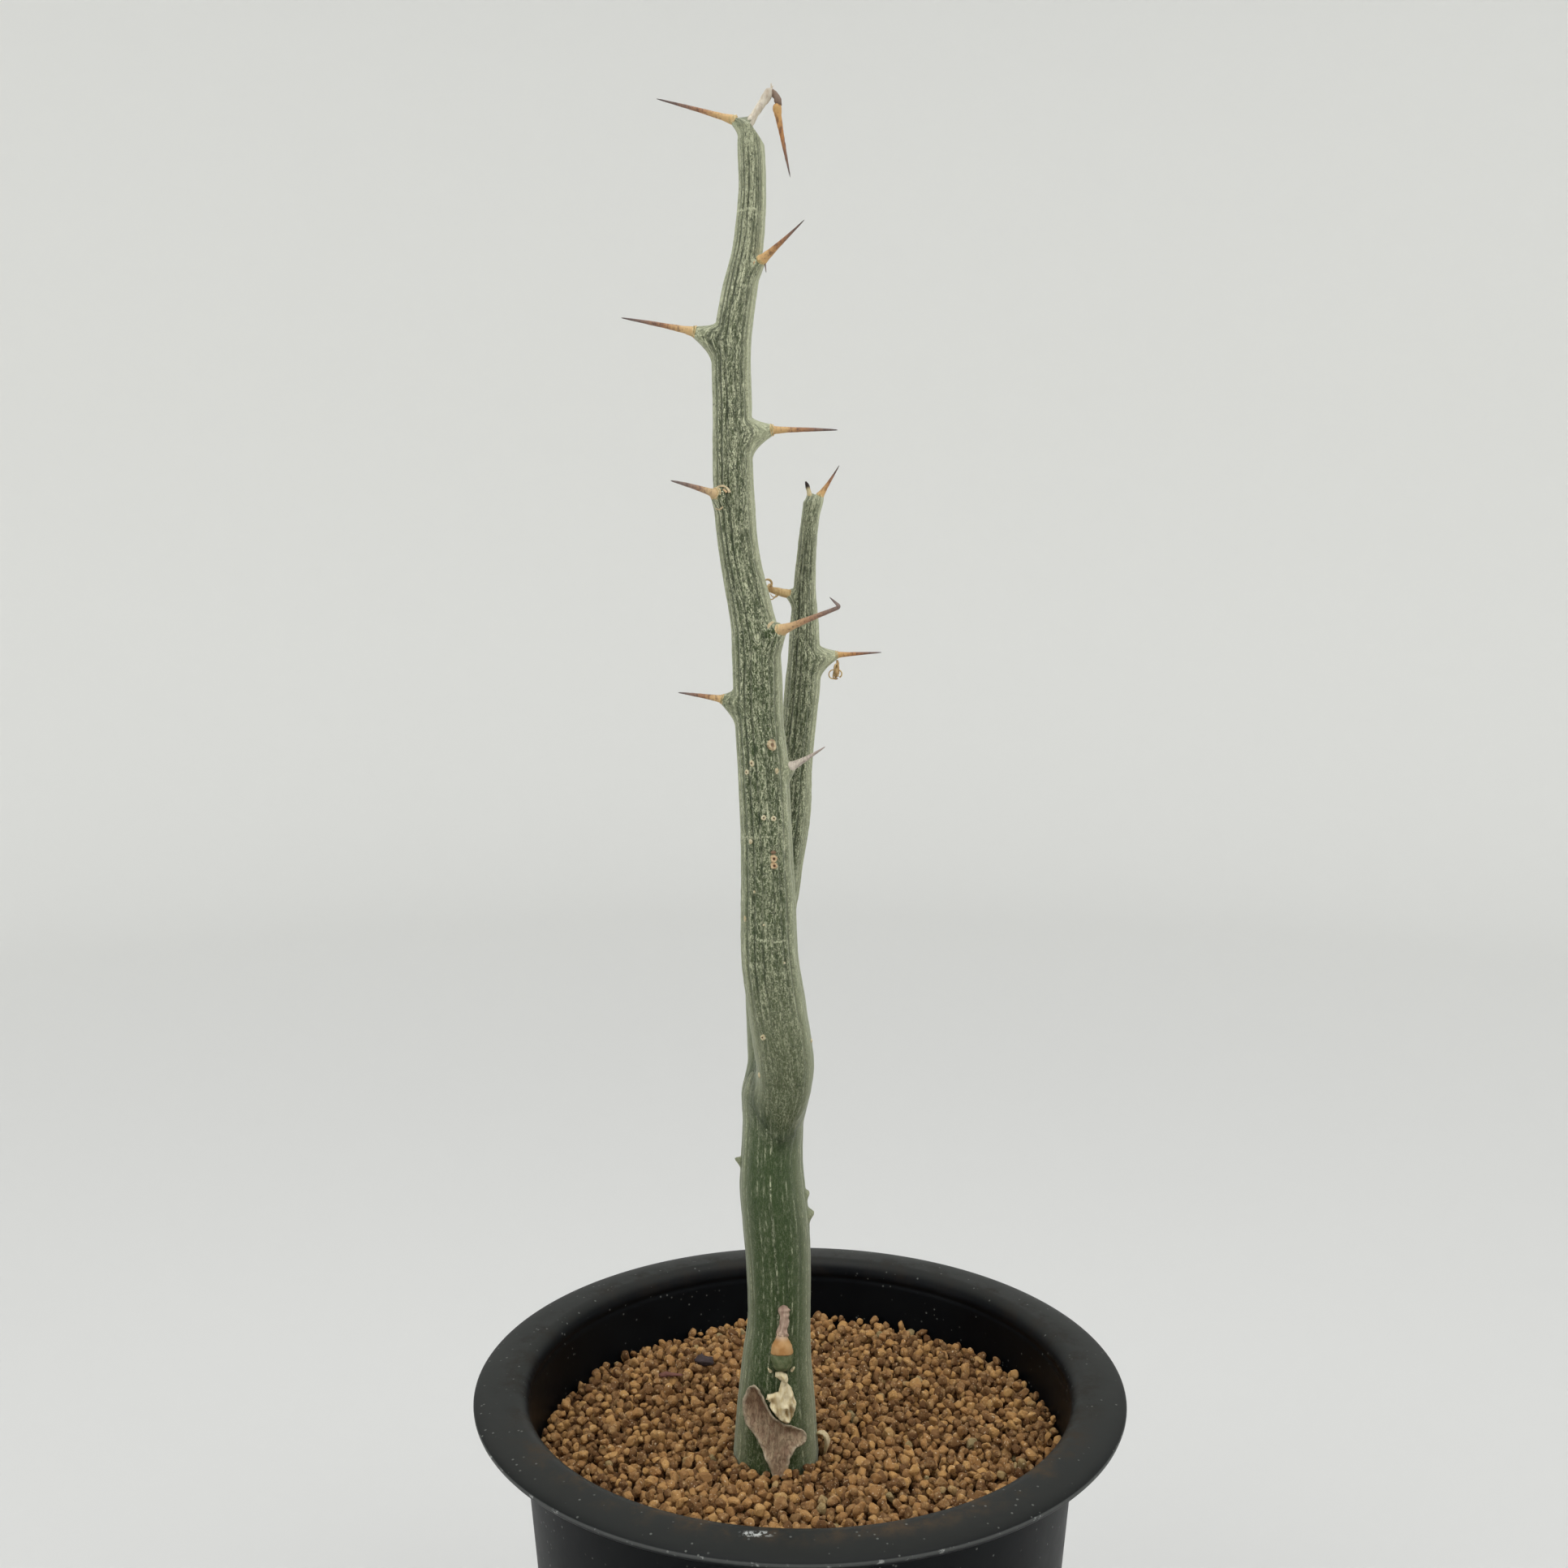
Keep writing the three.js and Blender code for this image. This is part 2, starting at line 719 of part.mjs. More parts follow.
// A dark chip of bark lying on the soil to the left, behind the trunk.
function makeBarkChip() {
  const geometry = new THREE.SphereGeometry(1, 12, 8).scale(...chipHalfSizes);
  const mesh = piece("bark_chip", geometry, "chip");
  mesh.position.set(chipX, chipY, soilTop + chipHalfSizes[2] + clearance);
  mesh.rotation.z = THREE.MathUtils.degToRad(chipTurn);
  return mesh;
}

// ---- the object ----

function makePlant(grownTrunk) {
  const plant = new THREE.Group();
  plant.add(...makeStems(grownTrunk));
  plant.add(...thorns.map(makeThorn));
  plant.add(...stalks.map(makeStalk));
  plant.add(makeDanglingThorn());
  plant.add(makeDriedCurl());
  plant.add(...makeBud(grownTrunk));
  plant.add(...makeScales());
  plant.add(makePaleCurl());
  plant.position.set(trunkX, trunkY, soilTop);
  return plant;
}

const grownTrunk = trunkSolid(clearance);
const group = new THREE.Group();
group.add(makePot());
group.add(makeSoil(grownTrunk));
group.add(makeBarkChip());
group.add(makePlant(grownTrunk));

export default group;
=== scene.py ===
"""A potted thorny caudex plant: the visual pieces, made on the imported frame."""

import json
import math
from collections import namedtuple

import bmesh
import bpy
import numpy as np
from bpy.props import FloatProperty, FloatVectorProperty, IntProperty, PointerProperty
from mathutils import Matrix, Vector
from mathutils.geometry import delaunay_2d_cdt

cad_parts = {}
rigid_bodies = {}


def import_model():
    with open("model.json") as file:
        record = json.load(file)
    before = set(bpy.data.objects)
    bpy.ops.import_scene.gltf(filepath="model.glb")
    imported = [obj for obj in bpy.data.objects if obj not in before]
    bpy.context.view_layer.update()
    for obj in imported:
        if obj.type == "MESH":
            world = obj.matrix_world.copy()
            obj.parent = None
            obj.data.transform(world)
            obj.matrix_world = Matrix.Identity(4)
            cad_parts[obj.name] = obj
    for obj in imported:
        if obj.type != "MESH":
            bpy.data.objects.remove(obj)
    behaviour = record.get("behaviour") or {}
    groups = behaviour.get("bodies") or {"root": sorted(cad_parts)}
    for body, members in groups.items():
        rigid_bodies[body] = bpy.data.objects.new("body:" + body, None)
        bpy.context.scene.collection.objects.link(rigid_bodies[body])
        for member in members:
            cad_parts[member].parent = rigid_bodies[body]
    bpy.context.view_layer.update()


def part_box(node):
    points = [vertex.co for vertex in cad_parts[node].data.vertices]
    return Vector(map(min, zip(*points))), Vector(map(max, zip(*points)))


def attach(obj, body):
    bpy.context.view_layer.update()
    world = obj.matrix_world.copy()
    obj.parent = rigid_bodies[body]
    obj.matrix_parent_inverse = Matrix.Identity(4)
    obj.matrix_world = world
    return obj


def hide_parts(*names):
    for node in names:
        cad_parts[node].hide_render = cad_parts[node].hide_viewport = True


bl_info = {
    "name": "Potted Thorny Plant",
    "version": (1, 0, 0),
    "blender": (4, 5, 0),
    "location": "View3D > Sidebar > Plant",
    "description": "Makes the pot, clay grains, stems, thorns and dried scales of a potted plant",
    "category": "Add Mesh",
}

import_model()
pot_low, pot_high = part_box("pot")
soil_low, soil_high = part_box("soil")

MM = 0.001
TAU = 2 * math.pi
# The camera: its place, how far below level it looks, in degrees, and its lens on a 36 mm sensor.
CAMERA_PLACE, CAMERA_DIP, CAMERA_LENS = (-0.0029, -0.2833, 0.2448), 5.958, 36.31
trunk_foot = np.array([-0.0043, -0.0085, soil_high.z])

# Lengths of the stems, how far the tall shoot's foot laps the trunk and the short one's stands above it,
# and how deep the trunk's foot is buried, in millimetres.
TRUNK_HEIGHT, TALL_LENGTH, SHORT_LENGTH = 66, 171.4, 105.6
TALL_LAP, SHORT_RISE, BURIED = 5, 0.3, 34

# Stations of a stem: share of its length, offset in X and Y from the trunk's foot, radius, in millimetres.
TRUNK_STATIONS = (
    (0, 0, 0, 7.8), (0.16, 0, 0, 7), (0.27, 0.1, 0, 6.3), (0.38, 0.5, 0, 5.75), (0.53, 0.4, 0, 5.9),
    (0.66, -0.1, 0, 6.1), (0.75, -0.7, 0, 5.9), (0.83, -0.8, 0.2, 5.5), (0.92, -0.6, 0.6, 5.4),
    (1, -0.3, 1.2, 5.4),
)
TALL_STATIONS = (
    (0, 0.5, -2.6, 2.4), (0.025, 1, -2.8, 4.2), (0.051, 1.6, -3.2, 4.8), (0.078, 1.5, -3.8, 5.1),
    (0.133, 0.1, -4.2, 5.1), (0.187, -1.1, -4.3, 5), (0.267, -1.4, -4.3, 4.6), (0.376, -2.2, -4.3, 4.35),
    (0.427, -2.9, -4.2, 4.25), (0.503, -3.4, -4.1, 4.15), (0.531, -4.2, -4, 3.8), (0.582, -6, -3.9, 3.45),
    (0.633, -7, -3.8, 3.5), (0.733, -7.3, -3.7, 3.3), (0.786, -7.4, -3.6, 3.3), (0.835, -6.2, -3.6, 3),
    (0.885, -4.6, -3.5, 2.6), (0.933, -3.9, -3.5, 2.35), (0.981, -4.1, -3.5, 2.2), (1, -4.4, -3.5, 1.5),
)
SHORT_STATIONS = (
    (0, -0.2, 2, 5.1), (0.05, -0.4, 4, 4.7), (0.194, -1.2, 6.4, 4.4), (0.3, -0.6, 7, 4.15),
    (0.367, 0.6, 7, 4), (0.474, 2.6, 7, 3.6), (0.549, 3.1, 7, 3.4), (0.636, 4.2, 7, 3.15),
    (0.702, 4.8, 7, 3.1), (0.767, 5, 7.1, 2.75), (0.853, 5.1, 7.2, 2.05), (0.939, 5.7, 7.3, 1.7),
    (1, 6.5, 7.4, 1.6),
)

# What grows on a stem: share of its length, azimuth from +X towards +Y, rise above level, how far
# its green cushion stands out, the cushion's radius, and the base radius and length of the growth.
Growth = namedtuple("Growth", "stem share azimuth rise cushion spread radius length")
THORNS = {
    "thorn_crown": Growth("tall", 0.998, 180, 16, 0.4, 1.4, 0.87, 13.2),
    "thorn_upper_right": Growth("tall", 0.855, -30, 32, 0.3, 1.5, 0.75, 9.7),
    "thorn_upper_left": Growth("tall", 0.795, 180, 12, 2.6, 2.5, 0.95, 12.4),
    "thorn_middle_right": Growth("tall", 0.707, 0, 2, 2.9, 2.7, 1, 11.1),
    "thorn_middle_left": Growth("tall", 0.64, -135, 12, 0.3, 1.9, 1.08, 9.9),
    "thorn_hooked": Growth("tall", 0.503, -35, 18, 0.4, 2.6, 1.3, 12.8),
    "thorn_lower_left": Growth("tall", 0.438, 180, 10, 1.5, 2.4, 0.85, 7.6),
    "thorn_lower_right": Growth("tall", 0.363, -12, 27, 0, 1.6, 0.9, 6.6),
    "thorn_short_crown": Growth("short", 0.985, 0, 55, -0.7, 1.2, 0.6, 6),
    "thorn_short_right": Growth("short", 0.736, 0, 4, 2.5, 2.4, 0.75, 8),
}
STALKS = {
    "dried_stalk_left": Growth("short", 0.837, 186, 10, 0.4, 1.4, 0.8, 4.4),
    "withered_tip": Growth("tall", 0.998, 0, 57, -1.5, 1, 0.65, 5.4),
    "tip_stub": Growth("short", 0.988, 180, 78, -1.7, 0.8, 0.45, 2.4),
}
# Leaf-scar knobs on the trunk, without a growth.
KNOBS = (
    Growth("trunk", 0.79, 182, 22, 0.85, 0.85, 0.2, 0),
    Growth("trunk", 0.715, -4, 12, 0.35, 1.0, 0.35, 0),
    Growth("trunk", 0.672, -4, 4, 0.85, 1.3, 0.4, 0),
)
# Each thorn's look: how far its tip bends up, how flat it is, how warm and how bleached its colour is.
THORN_LOOK = {
    "thorn_crown": (-0.25, 0.9, 0.35, 0),
    "thorn_upper_right": (0.35, 0.85, 0.6, 0),
    "thorn_upper_left": (-0.3, 0.95, 0.35, 0),
    "thorn_middle_right": (-0.35, 0.9, 0.45, 0),
    "thorn_middle_left": (-0.5, 0.9, 0.15, 0.15),
    "thorn_hooked": (0.1, 0.72, 0.55, 0.15),
    "thorn_lower_left": (-0.2, 0.95, 0.35, 0),
    "thorn_lower_right": (0.45, 0.8, 0, 0.95),
    "thorn_short_crown": (0.25, 0.9, 0.6, 0),
    "thorn_short_right": (-0.1, 0.9, 0.8, 0),
    "dangling_thorn": (0.2, 0.85, 0.9, 0),
}
# Thorns whose base is stouter or finer than most.
THORN_BASE = {"thorn_upper_right": 1.4, "thorn_lower_right": 1.3, "thorn_short_crown": 1.35,
              "thorn_middle_right": 0.86, "thorn_middle_left": 0.88, "thorn_upper_left": 0.94}

# Thin pale lines across a shoot: height above the soil, azimuth, half sweep and strength.
BANDS = {
    "tall": ((218, -115, 60, 1), (217.2, -80, 30, 0.7), (205.5, -60, 35, 0.6), (183, -100, 25, 0.5),
             (166, -70, 30, 0.5), (150.5, -75, 45, 0.5), (113.8, -118, 50, 0.8), (96, -85, 40, 0.7),
             (90.4, -70, 25, 0.5)),
    "short": ((160, -80, 30, 0.5), (141, -100, 30, 0.5), (126, -90, 40, 0.4)),
}


# ---- smooth random values ----

def lattice(place, seed):
    """A repeatable value from 0 to 1 for each whole-numbered place."""
    mixed = place[..., 0] * 73856093 ^ place[..., 1] * 19349663 ^ place[..., 2] * 83492791
    mixed = (mixed ^ (seed + 11) * 40503) & 0x7FFFFFFF
    mixed = (mixed ^ mixed >> 13) * 60493 & 0x7FFFFFFF
    mixed = (mixed ^ mixed >> 11) * 19990303 & 0x7FFFFFFF
    return (mixed >> 7 & 0xFFFF) / 0xFFFF


def rough(points, seed=0):
    """Smooth random value from -1 to 1 at points, with about one wave to a unit."""
    points = np.asarray(points, float)
    low = np.floor(points).astype(np.int64)
    part = points - low
    ease = part * part * (3 - 2 * part)
    total = 0
    for corner in range(8):
        step = np.array([corner & 1, corner >> 1 & 1, corner >> 2 & 1])
        weight = np.prod(np.where(step == 1, ease, 1 - ease), axis=-1)
        total = total + weight * lattice(low + step, seed)
    return total * 2 - 1


def wave(along, seed):
    """Smooth random value from -1 to 1 along a line."""
    along = np.asarray(along, float)
    return rough(np.stack([along, np.full_like(along, 0.37), np.full_like(along, 0.61)], -1), seed)


def bark_noise(theta, height, tight, long, seed):
    """Smooth random value from -1 to 1 over a stem: finer round it where tight, drawn out along it by long."""
    return rough(np.stack([np.cos(theta) * tight, np.sin(theta) * tight, height / long], -1), seed)


def sheet_noise(x, z, wide, high, seed):
    """Smooth random value from -1 to 1 over a flat sheet, with waves of a width and a height."""
    return rough(np.stack([x / wide, z / high, 0 * x], -1), seed)


def ramp(value, low, high):
    """0 below low, 1 above high, smooth between."""
    t = np.clip((np.asarray(value, float) - low) / (high - low), 0, 1)
    return t * t * (3 - 2 * t)


def aim(azimuth, rise):
    """The direction of an azimuth and a rise, in degrees."""
    turn, lift = math.radians(azimuth), math.radians(rise)
    return np.array([math.cos(turn) * math.cos(lift), math.sin(turn) * math.cos(lift), math.sin(lift)])


# ---- stems ----

class Stem:
    """A stem's axis and radius, in millimetres from the trunk's foot."""

    def __init__(self, stations, start, length):
        self.table = np.array(stations, float)
        self.start = start
        self.length = length

    def column(self, k, height):
        """A smooth value through one column of the stations."""
        share = np.clip(np.asarray(height, float) / self.length, 0, 1)
        x, y = self.table[:, 0], self.table[:, k]
        last = len(x) - 1
        i = np.clip(np.searchsorted(x, share, side="left") - 1, 0, last - 1)
        before = np.maximum(np.arange(last + 1) - 1, 0)
        after = np.minimum(np.arange(last + 1) + 1, last)
        slope = (y[after] - y[before]) / (x[after] - x[before])
        span = x[i + 1] - x[i]
        t = (share - x[i]) / span
        return (
            y[i] * (1 + 2 * t) * (1 - t) ** 2
            + slope[i] * span * t * (1 - t) ** 2
            + y[i + 1] * t * t * (3 - 2 * t)
            + slope[i + 1] * span * t * t * (t - 1)
        )

    def centre(self, height):
        height = np.asarray(height, float)
        return np.stack([self.column(1, height), self.column(2, height), self.start + height], -1)

    def radius(self, height):
        return self.column(3, height)

    def frame(self, height):
        """The axis's heading, and the directions across and behind it."""
        ahead = self.centre(height + 0.5) - self.centre(height - 0.5)
        ahead /= np.linalg.norm(ahead, axis=-1, keepdims=True)
        side = np.array([1.0, 0, 0]) - ahead * ahead[..., :1]
        side /= np.linalg.norm(side, axis=-1, keepdims=True)
        return ahead, side, np.cross(ahead, side)

    def distance(self, points):
        """How far points stand outside the stem's skin."""
        height = points[..., 2] - self.start
        middle = self.centre(height)
        flat = np.hypot(points[..., 0] - middle[..., 0], points[..., 1] - middle[..., 1])
        radius = self.radius(height)
        beyond = np.maximum(np.maximum(height - self.length, -height), 0)
        return np.hypot(flat, beyond) - radius


STEMS = {
    "trunk": Stem(TRUNK_STATIONS, 0, TRUNK_HEIGHT),
    "tall": Stem(TALL_STATIONS, TRUNK_HEIGHT - TALL_LAP, TALL_LENGTH),
    "short": Stem(SHORT_STATIONS, TRUNK_HEIGHT + SHORT_RISE, SHORT_LENGTH),
}


def reach_of(growth):
    """How far from the stem's axis a growth starts."""
    stem = STEMS[growth.stem]
    lift = math.radians(growth.rise)
    skin = float(stem.radius(growth.share * stem.length))
    return (skin + growth.cushion + growth.radius * math.sin(lift)) / math.cos(lift)


def root_of(growth):
    """The point on the stem's axis that a growth points away from, and its direction."""
    stem = STEMS[growth.stem]
    return stem.centre(growth.share * stem.length), aim(growth.azimuth, growth.rise)


def base_of(growth, out):
    """The middle of a growth's base, moved outwards, and the growth's direction."""
    middle, way = root_of(growth)
    return middle + way * (reach_of(growth) + out), way


def raise_cushion(points, growth, stand_off):
    """Draws a stem's skin out to a growth's base. Returns how much of the cushion each point is."""
    middle, way = root_of(growth)
    reach = reach_of(growth) + stand_off
    across = points - middle
    along = across @ way
    across = across - along[..., None] * way
    out = np.linalg.norm(across, axis=-1)
    below = np.clip(-across[..., 2] / np.maximum(out, 1e-6), -1, 1)
    foot = (growth.spread * (1.35 + 0.45 * below)).clip(growth.radius * 1.25)
    shoulder = growth.radius * 0.95
    t = np.clip((out - shoulder) / (foot - shoulder), 0, 1)
    share = (1 - t) ** 1.9 * (along > 0)
    lifted = along + np.maximum(reach - along, 0) * share
    points += (lifted - along)[..., None] * way
    return share


def lines_on(theta, height, radius, count, seed, width, pitch, cover):
    """Lengthwise lines on a stem, 0 to 1: count of them, each wandering and broken up."""
    chance = np.random.default_rng(seed)
    found = np.zeros(np.broadcast(theta, height).shape)
    for k in range(count):
        place = TAU * (k + chance.uniform(-0.3, 0.3)) / count
        strength = chance.uniform(0.5, 1)
        gap = (theta - place - 0.09 * wave(height / 23, seed + 3 * k) + math.pi) % TAU - math.pi
        across = gap * radius + 0.16 * wave(height / 3.1, seed + 40 + k)
        whole = ramp(wave(height / pitch, seed + 80 + k), cover - 0.35, cover + 0.35)
        found = np.maximum(found, strength * whole * np.exp(-((across / width) ** 2)))
    return found


# ---- meshes ----

class Heap:
    """Points, faces and point attributes gathered into one mesh, in millimetres from the trunk's foot."""

    def __init__(self):
        self.points, self.faces, self.marks, self.count = [], [], {}, 0

    def add(self, points, faces, **marks):
        points = np.asarray(points, float).reshape(-1, 3)
        self.faces += [tuple(int(i) + self.count for i in face) for face in faces]
        for name in set(self.marks) | set(marks):
            value = np.asarray(marks.get(name, 0.0), float)
            if value.ndim == 0:
                value = np.full(len(points), float(value))
            held = self.marks.setdefault(name, [])
            if not held and self.count:
                held.append(np.zeros((self.count,) + value.shape[1:]))
            held.append(value)
        self.points.append(points)
        self.count += len(points)

    def add_skin(self, points, theta, height, girth, **marks):
        """Adds a stem's rings of points with grids of marks. Patterns go round a circle of one girth."""
        marks["around"] = np.stack([np.cos(theta) * girth, np.sin(theta) * girth, height], -1)
        padded = {name: pad(mark) for name, mark in marks.items()}
        self.add(with_poles(points), ring_faces(*points.shape[:2]), **padded)

    def add_sheet(self, x, z, lift, faces, thickness, **marks):
        """Adds a flat sheet bent round the trunk's front, lifted off its skin and closed with a back."""
        points, out = trunk_front(x, z, 0.0)
        shell, closed = thicken(points + out * lift[:, None], faces, out, thickness)
        both = {name: np.tile(mark, 2) for name, mark in marks.items()}
        self.add(shell, closed, around=np.tile(np.stack([x, 0 * x, z], -1), (2, 1)), **both)

    def add_tube(self, path, radii, *shape, **marks):
        """Adds a tube. A mark may be a function of the share of the way along it."""
        points, faces, along = tube(path, radii, *shape)
        marks = {name: mark(along) if callable(mark) else mark for name, mark in marks.items()}
        self.add(points, faces, around=points, **marks)

    def make(self, name, material, origin=trunk_foot):
        """One smooth-shaded object, with its place in its mesh."""
        mesh = bpy.data.meshes.new(name)
        place = np.concatenate(self.points) * MM + origin
        mesh.from_pydata(place.tolist(), [], self.faces)
        for key, held in self.marks.items():
            value = np.concatenate(held)
            kind, field = ("FLOAT", "value") if value.ndim == 1 else ("FLOAT_VECTOR", "vector")
            mesh.attributes.new(key, kind, "POINT").data.foreach_set(field, value.astype(np.float32).ravel())
        mesh.update()
        mesh.shade_smooth()
        mesh.materials.append(material)
        thing = bpy.data.objects.new(name, mesh)
        bpy.context.scene.collection.objects.link(thing)
        return thing


def ring_faces(rings, sides):
    """Quads between rings that run upwards and turn anticlockwise, with a pole at each end."""
    low = np.arange(rings - 1)[:, None] * sides
    here = np.arange(sides)[None, :]
    after = (here + 1) % sides
    quads = np.stack([low + here, low + after, low + sides + after, low + sides + here], -1).reshape(-1, 4)
    top = (rings - 1) * sides
    bottom_pole, top_pole = rings * sides, rings * sides + 1
    faces = [tuple(quad) for quad in quads.tolist()]
    for j in range(sides):
        k = (j + 1) % sides
        faces.append((bottom_pole, k, j))
        faces.append((top_pole, top + j, top + k))
    return faces


def with_poles(grid):
    """A grid of rings flattened to a list of points, with the middle of its first and last ring."""
    return np.concatenate([grid.reshape(-1, 3), grid[0].mean(0)[None], grid[-1].mean(0)[None]])


def pad(values):
    """A grid of values flattened, with one for each pole."""
    flat = values.reshape(-1, *values.shape[2:])
    return np.concatenate([flat, values[0].mean(0)[None], values[-1].mean(0)[None]])


def share_along(path):
    """The share of a path's length at each of its points."""
    steps = np.concatenate([[0], np.cumsum(np.linalg.norm(np.diff(path, axis=0), axis=1))])
    return steps / steps[-1]


def tube(path, radii, sides=16, flat=1.0, lump=0.0, seed=0, up=(0, 0, 1)):
    """A closed tube along a path. Returns its points, faces and share of the way along."""
    path = np.asarray(path, float)
    radii = np.broadcast_to(np.asarray(radii, float), len(path))
    heading = np.gradient(path, axis=0)
    heading /= np.linalg.norm(heading, axis=1, keepdims=True)
    side = np.cross(np.asarray(up, float), heading[0])
    if np.linalg.norm(side) < 1e-3:
        side = np.cross((0.0, 1.0, 0.0), heading[0])
    across = []
    for ahead in heading:
        side = side - ahead * (side @ ahead)
        side = side / np.linalg.norm(side)
        across.append(side)
    across = np.array(across)
    over = np.cross(heading, across)
    theta = np.linspace(0, TAU, sides, endpoint=False)
    grid = (
        path[:, None]
        + radii[:, None, None] * np.cos(theta)[None, :, None] * across[:, None]
        + radii[:, None, None] * flat * np.sin(theta)[None, :, None] * over[:, None]
    )
    if lump:
        grid += (grid - path[:, None]) * lump * rough(grid * 1.7, seed)[..., None]
    along = np.repeat(share_along(path)[:, None], sides, axis=1)
    return with_poles(grid), ring_faces(len(path), sides), pad(along)


def spun(profile, sides):
    """A shape turned about the pot's axis from (radius, height) points, closed on the axis at both ends."""
    profile = np.asarray(profile, float)
    theta = np.linspace(0, TAU, sides, endpoint=False)
    radius, height = profile[:, :1], profile[:, 1:]
    grid = np.stack([radius * np.cos(theta), radius * np.sin(theta), np.repeat(height, sides, axis=1)], -1)
    return with_poles(grid), ring_faces(len(profile), sides)


def finish_piece(piece, slot, *nodes):
    """The piece rides on the plant and stands in for its CAD nodes, which it hides. Its slot is not used."""
    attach(piece, "root")
    if nodes:
        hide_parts(*nodes)


# ---- shader maths ----

class Wire:
    """A shader socket that takes arithmetic."""

    def __init__(self, paint, socket):
        self.paint, self.socket = paint, socket

    def maths(self, operation, *values):
        return self.paint.node("ShaderNodeMath", {"operation": operation}, dict(enumerate(values)))

    def __add__(self, other):
        return self.maths("ADD", self, other)

    def __sub__(self, other):
        return self.maths("SUBTRACT", self, other)

    def __rsub__(self, other):
        return self.maths("SUBTRACT", other, self)

    def __mul__(self, other):
        return self.maths("MULTIPLY", self, other)

    def __abs__(self):
        return self.maths("ABSOLUTE", self)

    def biggest(self, other):
        return self.maths("MAXIMUM", self, other)

    __radd__ = __add__
    __rmul__ = __mul__


class Paint:
    """One procedural material."""

    def __init__(self, name):
        self.material = bpy.data.materials.new(name)
        self.material.use_nodes = True
        self.tree = self.material.node_tree
        self.tree.nodes.clear()

    def node(self, kind, settings=None, inputs=None, output=0):
        """Adds a node, sets it up, then fills its sockets with values or wires."""
        made = self.tree.nodes.new(kind)
        for key, value in (settings or {}).items():
            if key == "stops":
                stops = made.color_ramp.elements
                while len(stops) < len(value):
                    stops.new(0.5)
                for stop, (place, colour) in zip(stops, value):
                    stop.position, stop.color = place, (*colour, 1)
            else:
                setattr(made, key, value)
        for key, value in (inputs or {}).items():
            socket = made.inputs[key]
            if isinstance(value, Wire):
                self.tree.links.new(value.socket, socket)
            elif socket.type == "RGBA" and len(value) == 3:
                socket.default_value = (*value, 1)
            else:
                socket.default_value = value
        return Wire(self, made.outputs[output]) if made.outputs else None

    def attribute(self, name, vector=False):
        """A value or a vector that the mesh's points carry."""
        settings = {"attribute_type": "GEOMETRY", "attribute_name": name}
        return self.node("ShaderNodeAttribute", settings, output=1 if vector else 2)

    def place(self):
        """Object coordinates."""
        return self.node("ShaderNodeTexCoord", output=3)

    def stretch(self, vector, scale):
        return self.node("ShaderNodeMapping", None, {"Vector": vector, "Scale": scale})

    def noise(self, vector, scale, detail=2.0, roughness=0.5, distortion=0.0):
        inputs = {"Vector": vector, "Scale": scale, "Detail": detail, "Roughness": roughness,
                  "Distortion": distortion}
        return self.node("ShaderNodeTexNoise", None, inputs)

    def cells(self, vector, scale):
        return self.node("ShaderNodeTexVoronoi", None, {"Vector": vector, "Scale": scale})

    def step(self, value, low, high):
        """0 below low and 1 above high; the other way round where low is the higher."""
        inputs = {"Value": value, "From Min": low, "From Max": high}
        return self.node("ShaderNodeMapRange", {"interpolation_type": "SMOOTHSTEP"}, inputs)

    def mix(self, share, first, second):
        return self.node("ShaderNodeMix", {"data_type": "RGBA"}, {0: share, 6: first, 7: second}, output=2)

    def stops(self, value, stops):
        return self.node("ShaderNodeValToRGB", {"stops": stops}, {"Fac": value})

    def part(self, vector, axis):
        """One coordinate of a vector."""
        return self.node("ShaderNodeSeparateXYZ", None, {"Vector": vector}, output=axis)

    def length(self, vector):
        return self.node("ShaderNodeVectorMath", {"operation": "LENGTH"}, {0: vector}, output=1)

    def finish(self, colour, roughness, height=None, depth=0.0001, strength=0.6, **fixed):
        """Closes the material: colour and roughness, a bump of a depth in metres, and fixed shader values."""
        inputs = {"Base Color": colour, "Roughness": roughness}
        if height is not None:
            bump = {"Strength": strength, "Distance": depth, "Height": height}
            inputs["Normal"] = self.node("ShaderNodeBump", None, bump)
        inputs.update({key.replace("_", " "): value for key, value in fixed.items()})
        shader = self.node("ShaderNodeBsdfPrincipled", None, inputs)
        self.node("ShaderNodeOutputMaterial", None, {"Surface": shader})
        return self.material


def linear(red, green, blue):
    """A colour of the usual 0 to 255 scale as the shader wants it."""
    return tuple(((v / 255 + 0.055) / 1.055) ** 2.4 if v > 10 else v / 255 / 12.92 for v in (red, green, blue))


# ---- finishes ----

